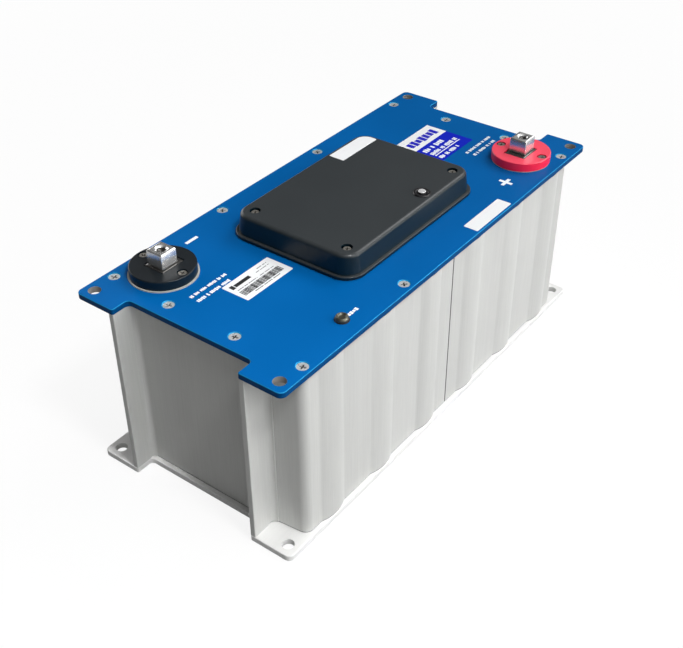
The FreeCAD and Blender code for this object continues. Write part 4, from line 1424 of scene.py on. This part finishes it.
@dataclass
class Print:
    """Generic marks on the plate and the labels, in millimetres but for the ink's height.

    Bars are low X, high X, low Y and high Y. The plate's marks are counted from the module's
    middle, and a label's from the label's low corner.
    """

    ink: float = 0.03 * MM
    minus: Bars = ((-115.5, -103.0, 74.3, 77.2),)
    plus: Bars = ((109.0, 112.0, -77.9, -65.9), (104.5, 109.0, -73.4, -70.4),
                  (112.0, 116.5, -73.4, -70.4))
    negative_rows: tuple[Row, ...] = (Row(-165.5, -127.0, 24.0, 3.1, 1.5, (2, 3, 4, 6)),
                                      Row(-166.0, -132.0, 16.7, 3.3, 1.7, (5, 1, 6)))
    positive_rows: tuple[Row, ...] = (Row(135.0, 174.5, -19.0, 3.1, 1.5, (2, 7, 5)),
                                      Row(136.0, 171.0, -26.0, 3.3, 1.7, (2, 1, 6)))
    vent_rows: tuple[Row, ...] = (Row(-116.4, -104.8, -78.1, 3.2, 2.8, (9,)),)
    serial_heading: Bars = ((3.2, 6.6, 16.6, 21.4), (7.4, 23.5, 17.2, 20.6))
    serial_rows: tuple[Row, ...] = (Row(4.6, 27.0, 13.6, 0.8, 0.9, (7, 4, 9)),
                                    Row(29.0, 45.0, 13.6, 0.8, 0.9, (5, 6)),
                                    Row(30.0, 44.5, 18.4, 0.8, 0.9, (4, 8)),
                                    Row(34.0, 45.5, 21.2, 0.8, 0.9, (6, 3)),
                                    Row(12.0, 40.0, 3.4, 1.0, 1.1, (8, 8)))
    upright_count: int = 34
    upright_start: float = 3.6
    upright_pitch: float = 1.26
    upright_low: float = 5.0
    upright_high: float = 11.6
    upright_width: float = 0.72
    upright_steps: Steps = ((0.26, 5.1, 0.1), (0.14, 2.3, 0.6))
    rating_band: Bars = ((0.15, 48.85, 27.6, 47.85),)
    rating_heading: tuple[Row, ...] = (Row(3.5, 45.0, 36.6, 9.5, 5.9, (9,)),)
    rating_line: Bars = ((3.5, 42.5, 9.2, 10.3),)
    rating_rows: tuple[Row, ...] = (Row(3.5, 37.0, 21.0, 5.4, 2.9, (3, 1, 4)),
                                    Row(3.5, 44.0, 13.6, 4.6, 2.2, (6, 2, 5)),
                                    Row(3.5, 34.0, 4.6, 4.6, 2.2, (3, 2, 4)))

    def uprights(self) -> Bars:
        """A band of upright bars that encodes nothing.

        Bar n is wider by each step's first number where the sine of n times its second number
        is above its third.

        Returns:
            The bars.
        """
        number = np.arange(self.upright_count)
        low = self.upright_start + number * self.upright_pitch
        width = self.upright_width + sum(more * (np.sin(number * wave) > limit)
                                         for more, wave, limit in self.upright_steps)
        return tuple((left, right, self.upright_low, self.upright_high)
                     for left, right in zip(low, low + width))

    def lay(self, name: str, node: str, finish: Finishes, bars: Bars = (),
            rows: Sequence[Row] = (), layers: int = 0) -> None:
        """Lays marks of one ink on the plate or a label as one piece.

        Args:
            name: The piece's name.
            node: The node that it lies on.
            finish: The ink.
            bars: Plain bars.
            rows: Rows of blocks.
            layers: Layers of ink that lie below it.
        """
        low, high = node_box(node)
        x, y = (0.0, 0.0) if node == "top_plate" else low[:2] / MM
        marks = np.concatenate([np.reshape(bars, (-1, 4)), *(row.bars() for row in rows)])
        surface = flat_bars((marks + (x, x, y, y)) * MM, high[2] + layers * self.ink, self.ink)
        build_piece(name, surface, finish)

    def build(self) -> None:
        """Dresses the four labels and lays all marks."""
        skins(Finishes.WHITE_STOCK, "serial_label", "blank_label", "cover_label")
        skin("rating_label", Finishes.BLUE_STOCK)
        ink, plate = Finishes.WHITE_INK, "top_plate"
        self.lay("minus_mark", plate, ink, self.minus)
        self.lay("plus_mark", plate, ink, self.plus)
        self.lay("negative_small_rows", plate, ink, rows=self.negative_rows)
        self.lay("positive_small_rows", plate, ink, rows=self.positive_rows)
        self.lay("vent_mark", plate, ink, rows=self.vent_rows)
        self.lay("serial_label_print", "serial_label", Finishes.BLACK_INK,
                 self.serial_heading + self.uprights(), self.serial_rows)
        self.lay("rating_label_band", "rating_label", Finishes.WHITE_STOCK, self.rating_band)
        self.lay("rating_label_heading", "rating_label", Finishes.BLUE_INK,
                 rows=self.rating_heading, layers=1)
        self.lay("rating_label_rows", "rating_label", ink, self.rating_line, self.rating_rows)


# Studio


@dataclass(frozen=True)
class Softbox:
    """A square soft light: its place, side, watts, the point it looks at and its beam's angle."""

    place: Place
    side: float
    watts: float
    aim: Place = (0.0, 0.0, 0.09)
    beam_degrees: float = 180.0

    def hang(self, name: str) -> None:
        """Hangs the light and turns it to its aim.

        Args:
            name: The light's name.
        """
        lamp = bpy.data.lights.new(name, "AREA")
        lamp.size = self.side
        lamp.energy = self.watts
        lamp.spread = math.radians(self.beam_degrees)
        hung = link_object(name, lamp)
        hung.location = self.place
        hung.rotation_mode = "QUATERNION"
        line = Vector(self.aim) - Vector(self.place)
        hung.rotation_quaternion = line.to_track_quat("-Z", "Y")


@dataclass
class Studio:
    """Camera, floor, room and soft lights.

    The levels by kind of ray are Light Path outputs, with what each adds to the plain level.
    """

    camera_place: Place = (-0.59601, -0.43506, 0.59463)
    camera_forward: Place = (0.63992712, 0.48400024, -0.59685597)
    camera_up: Place = (0.48044293, 0.35418392, 0.80232683)
    focal_pixels: float = 1075.89
    picture_width: float = 683.0
    sensor_width: float = 36.0
    clip_start: float = 0.01
    clip_end: float = 50.0
    floor_half: float = 6.0
    floor_level: float = -0.0004
    floor_grey: float = 0.19
    floor_paler: dict[str, float] = field(default_factory=lambda: {"Is Camera Ray": 0.75})
    floor_glow: dict[str, float] = field(default_factory=lambda: {
        "Is Camera Ray": 0.88, "Is Glossy Ray": 0.30, "Is Transmission Ray": 0.30})
    bright_side: Place = (0.26, -0.87, 0.42)
    room_span: tuple[float, float] = (-0.15, 0.95)
    room_levels: tuple[float, float] = (0.03, 0.82)
    backdrop: dict[str, float] = field(default_factory=lambda: {"Is Camera Ray": 0.93})
    lights: dict[str, Softbox] = field(default_factory=lambda: {
        "key_light": Softbox((1.90, -0.60, 2.10), 1.2, 24.5),
        "long_side_light": Softbox((0.40, -1.85, 0.45), 2.2, 31.0),
        "far_half_light": Softbox((0.42, -1.00, 0.16), 0.24, 0.19, (0.15, -0.09, 0.08), 44.0),
        "back_light": Softbox((0.30, 2.00, 0.42), 1.6, 20.0),
        "near_corner_light": Softbox((-0.32, -0.80, 1.38), 0.24, 1.12, (-0.28, -0.06, 0.14),
                                     50.0)})

    def camera(self) -> None:
        """Places the camera by its forward and up directions."""
        lens = bpy.data.cameras.new("camera")
        lens.sensor_width = self.sensor_width
        lens.lens = self.focal_pixels / self.picture_width * self.sensor_width
        lens.clip_start = self.clip_start
        lens.clip_end = self.clip_end
        seen = link_object("camera", lens)
        forward = Vector(self.camera_forward).normalized()
        right = forward.cross(Vector(self.camera_up)).normalized()
        turn = Matrix((right, right.cross(forward), -forward)).transposed()
        seen.matrix_world = Matrix.Translation(self.camera_place) @ turn.to_4x4()
        bpy.context.scene.camera = seen

    def ray_level(self, tree: bpy.types.NodeTree, plain: float,
                  added: dict[str, float]) -> Socket:
        """A number that depends on the kind of ray.

        Args:
            tree: The node tree.
            plain: The number for every ray that isn't named.
            added: What each named kind of ray adds.

        Returns:
            The number.
        """
        path = add_node(tree, "ShaderNodeLightPath")
        total = plain
        for kind, more in added.items():
            total = add_node(tree, "ShaderNodeMath", {0: path.outputs[kind], 1: more, 2: total},
                             operation="MULTIPLY_ADD").outputs[0]
        return total

    def floor(self) -> None:
        """Lays a pale floor that is white to the camera and shows in gloss, with the shadow."""
        corners = np.array([(-1, -1), (1, -1), (1, 1), (-1, 1)]) * self.floor_half
        mesh = bpy.data.meshes.new("floor")
        mesh.from_pydata([(x, y, self.floor_level) for x, y in corners], [], [(0, 1, 2, 3)])
        link_object("floor", mesh)
        material = bpy.data.materials.new("floor")
        material.use_nodes = True
        tree = material.node_tree
        tree.nodes.clear()
        paleness = self.ray_level(tree, self.floor_grey, self.floor_paler)
        matt = add_node(tree, "ShaderNodeBsdfDiffuse", {"Color": paleness})
        glow = add_node(tree, "ShaderNodeEmission", {"Strength": 1.0})
        mixed = add_node(tree, "ShaderNodeMixShader", {
            0: self.ray_level(tree, 0.0, self.floor_glow), 1: matt.outputs[0],
            2: glow.outputs[0]})
        add_node(tree, "ShaderNodeOutputMaterial", {"Surface": mixed.outputs[0]})
        mesh.materials.append(material)

    def room(self) -> None:
        """Makes a world that is paler beyond the long side, and white to the camera."""
        world = bpy.data.worlds.new("room")
        bpy.context.scene.world = world
        world.use_nodes = True
        tree = world.node_tree
        tree.nodes.clear()
        toward = add_node(tree, "ShaderNodeVectorMath", {
            0: add_node(tree, "ShaderNodeTexCoord").outputs["Generated"],
            1: Vector(self.bright_side).normalized()}, operation="DOT_PRODUCT")
        level = add_node(tree, "ShaderNodeMapRange", {
            "Value": toward.outputs["Value"], "From Min": self.room_span[0],
            "From Max": self.room_span[1], "To Min": self.room_levels[0],
            "To Max": self.room_levels[1]})
        strength = add_node(tree, "ShaderNodeMath", {
            0: level.outputs[0], 1: self.ray_level(tree, 0.0, self.backdrop)},
            operation="MAXIMUM")
        glow = add_node(tree, "ShaderNodeBackground", {"Color": (1.0, 1.0, 1.0, 1.0),
                                                       "Strength": strength.outputs[0]})
        add_node(tree, "ShaderNodeOutputWorld", {"Surface": glow.outputs[0]})

    def build(self) -> None:
        """Sets up the camera, the floor, the room and the lights."""
        bpy.context.scene.view_settings.view_transform = "Standard"
        self.camera()
        self.floor()
        self.room()
        for name, light in self.lights.items():
            light.hang(name)


def main() -> None:
    """Builds the studio and every sub-assembly."""
    logging.basicConfig(level=logging.INFO, format="%(message)s")
    Studio().build()
    Case().build()
    CellStack().build()
    Board().build()
    Screws().build()
    Terminal(Polarity.NEGATIVE, Finishes.BLACK_DISC).build()
    Terminal(Polarity.POSITIVE, Finishes.RED_DISC).build()
    CoverGroup().build()
    Vent().build()
    Print().build()


if __name__ == "__main__":
    main()
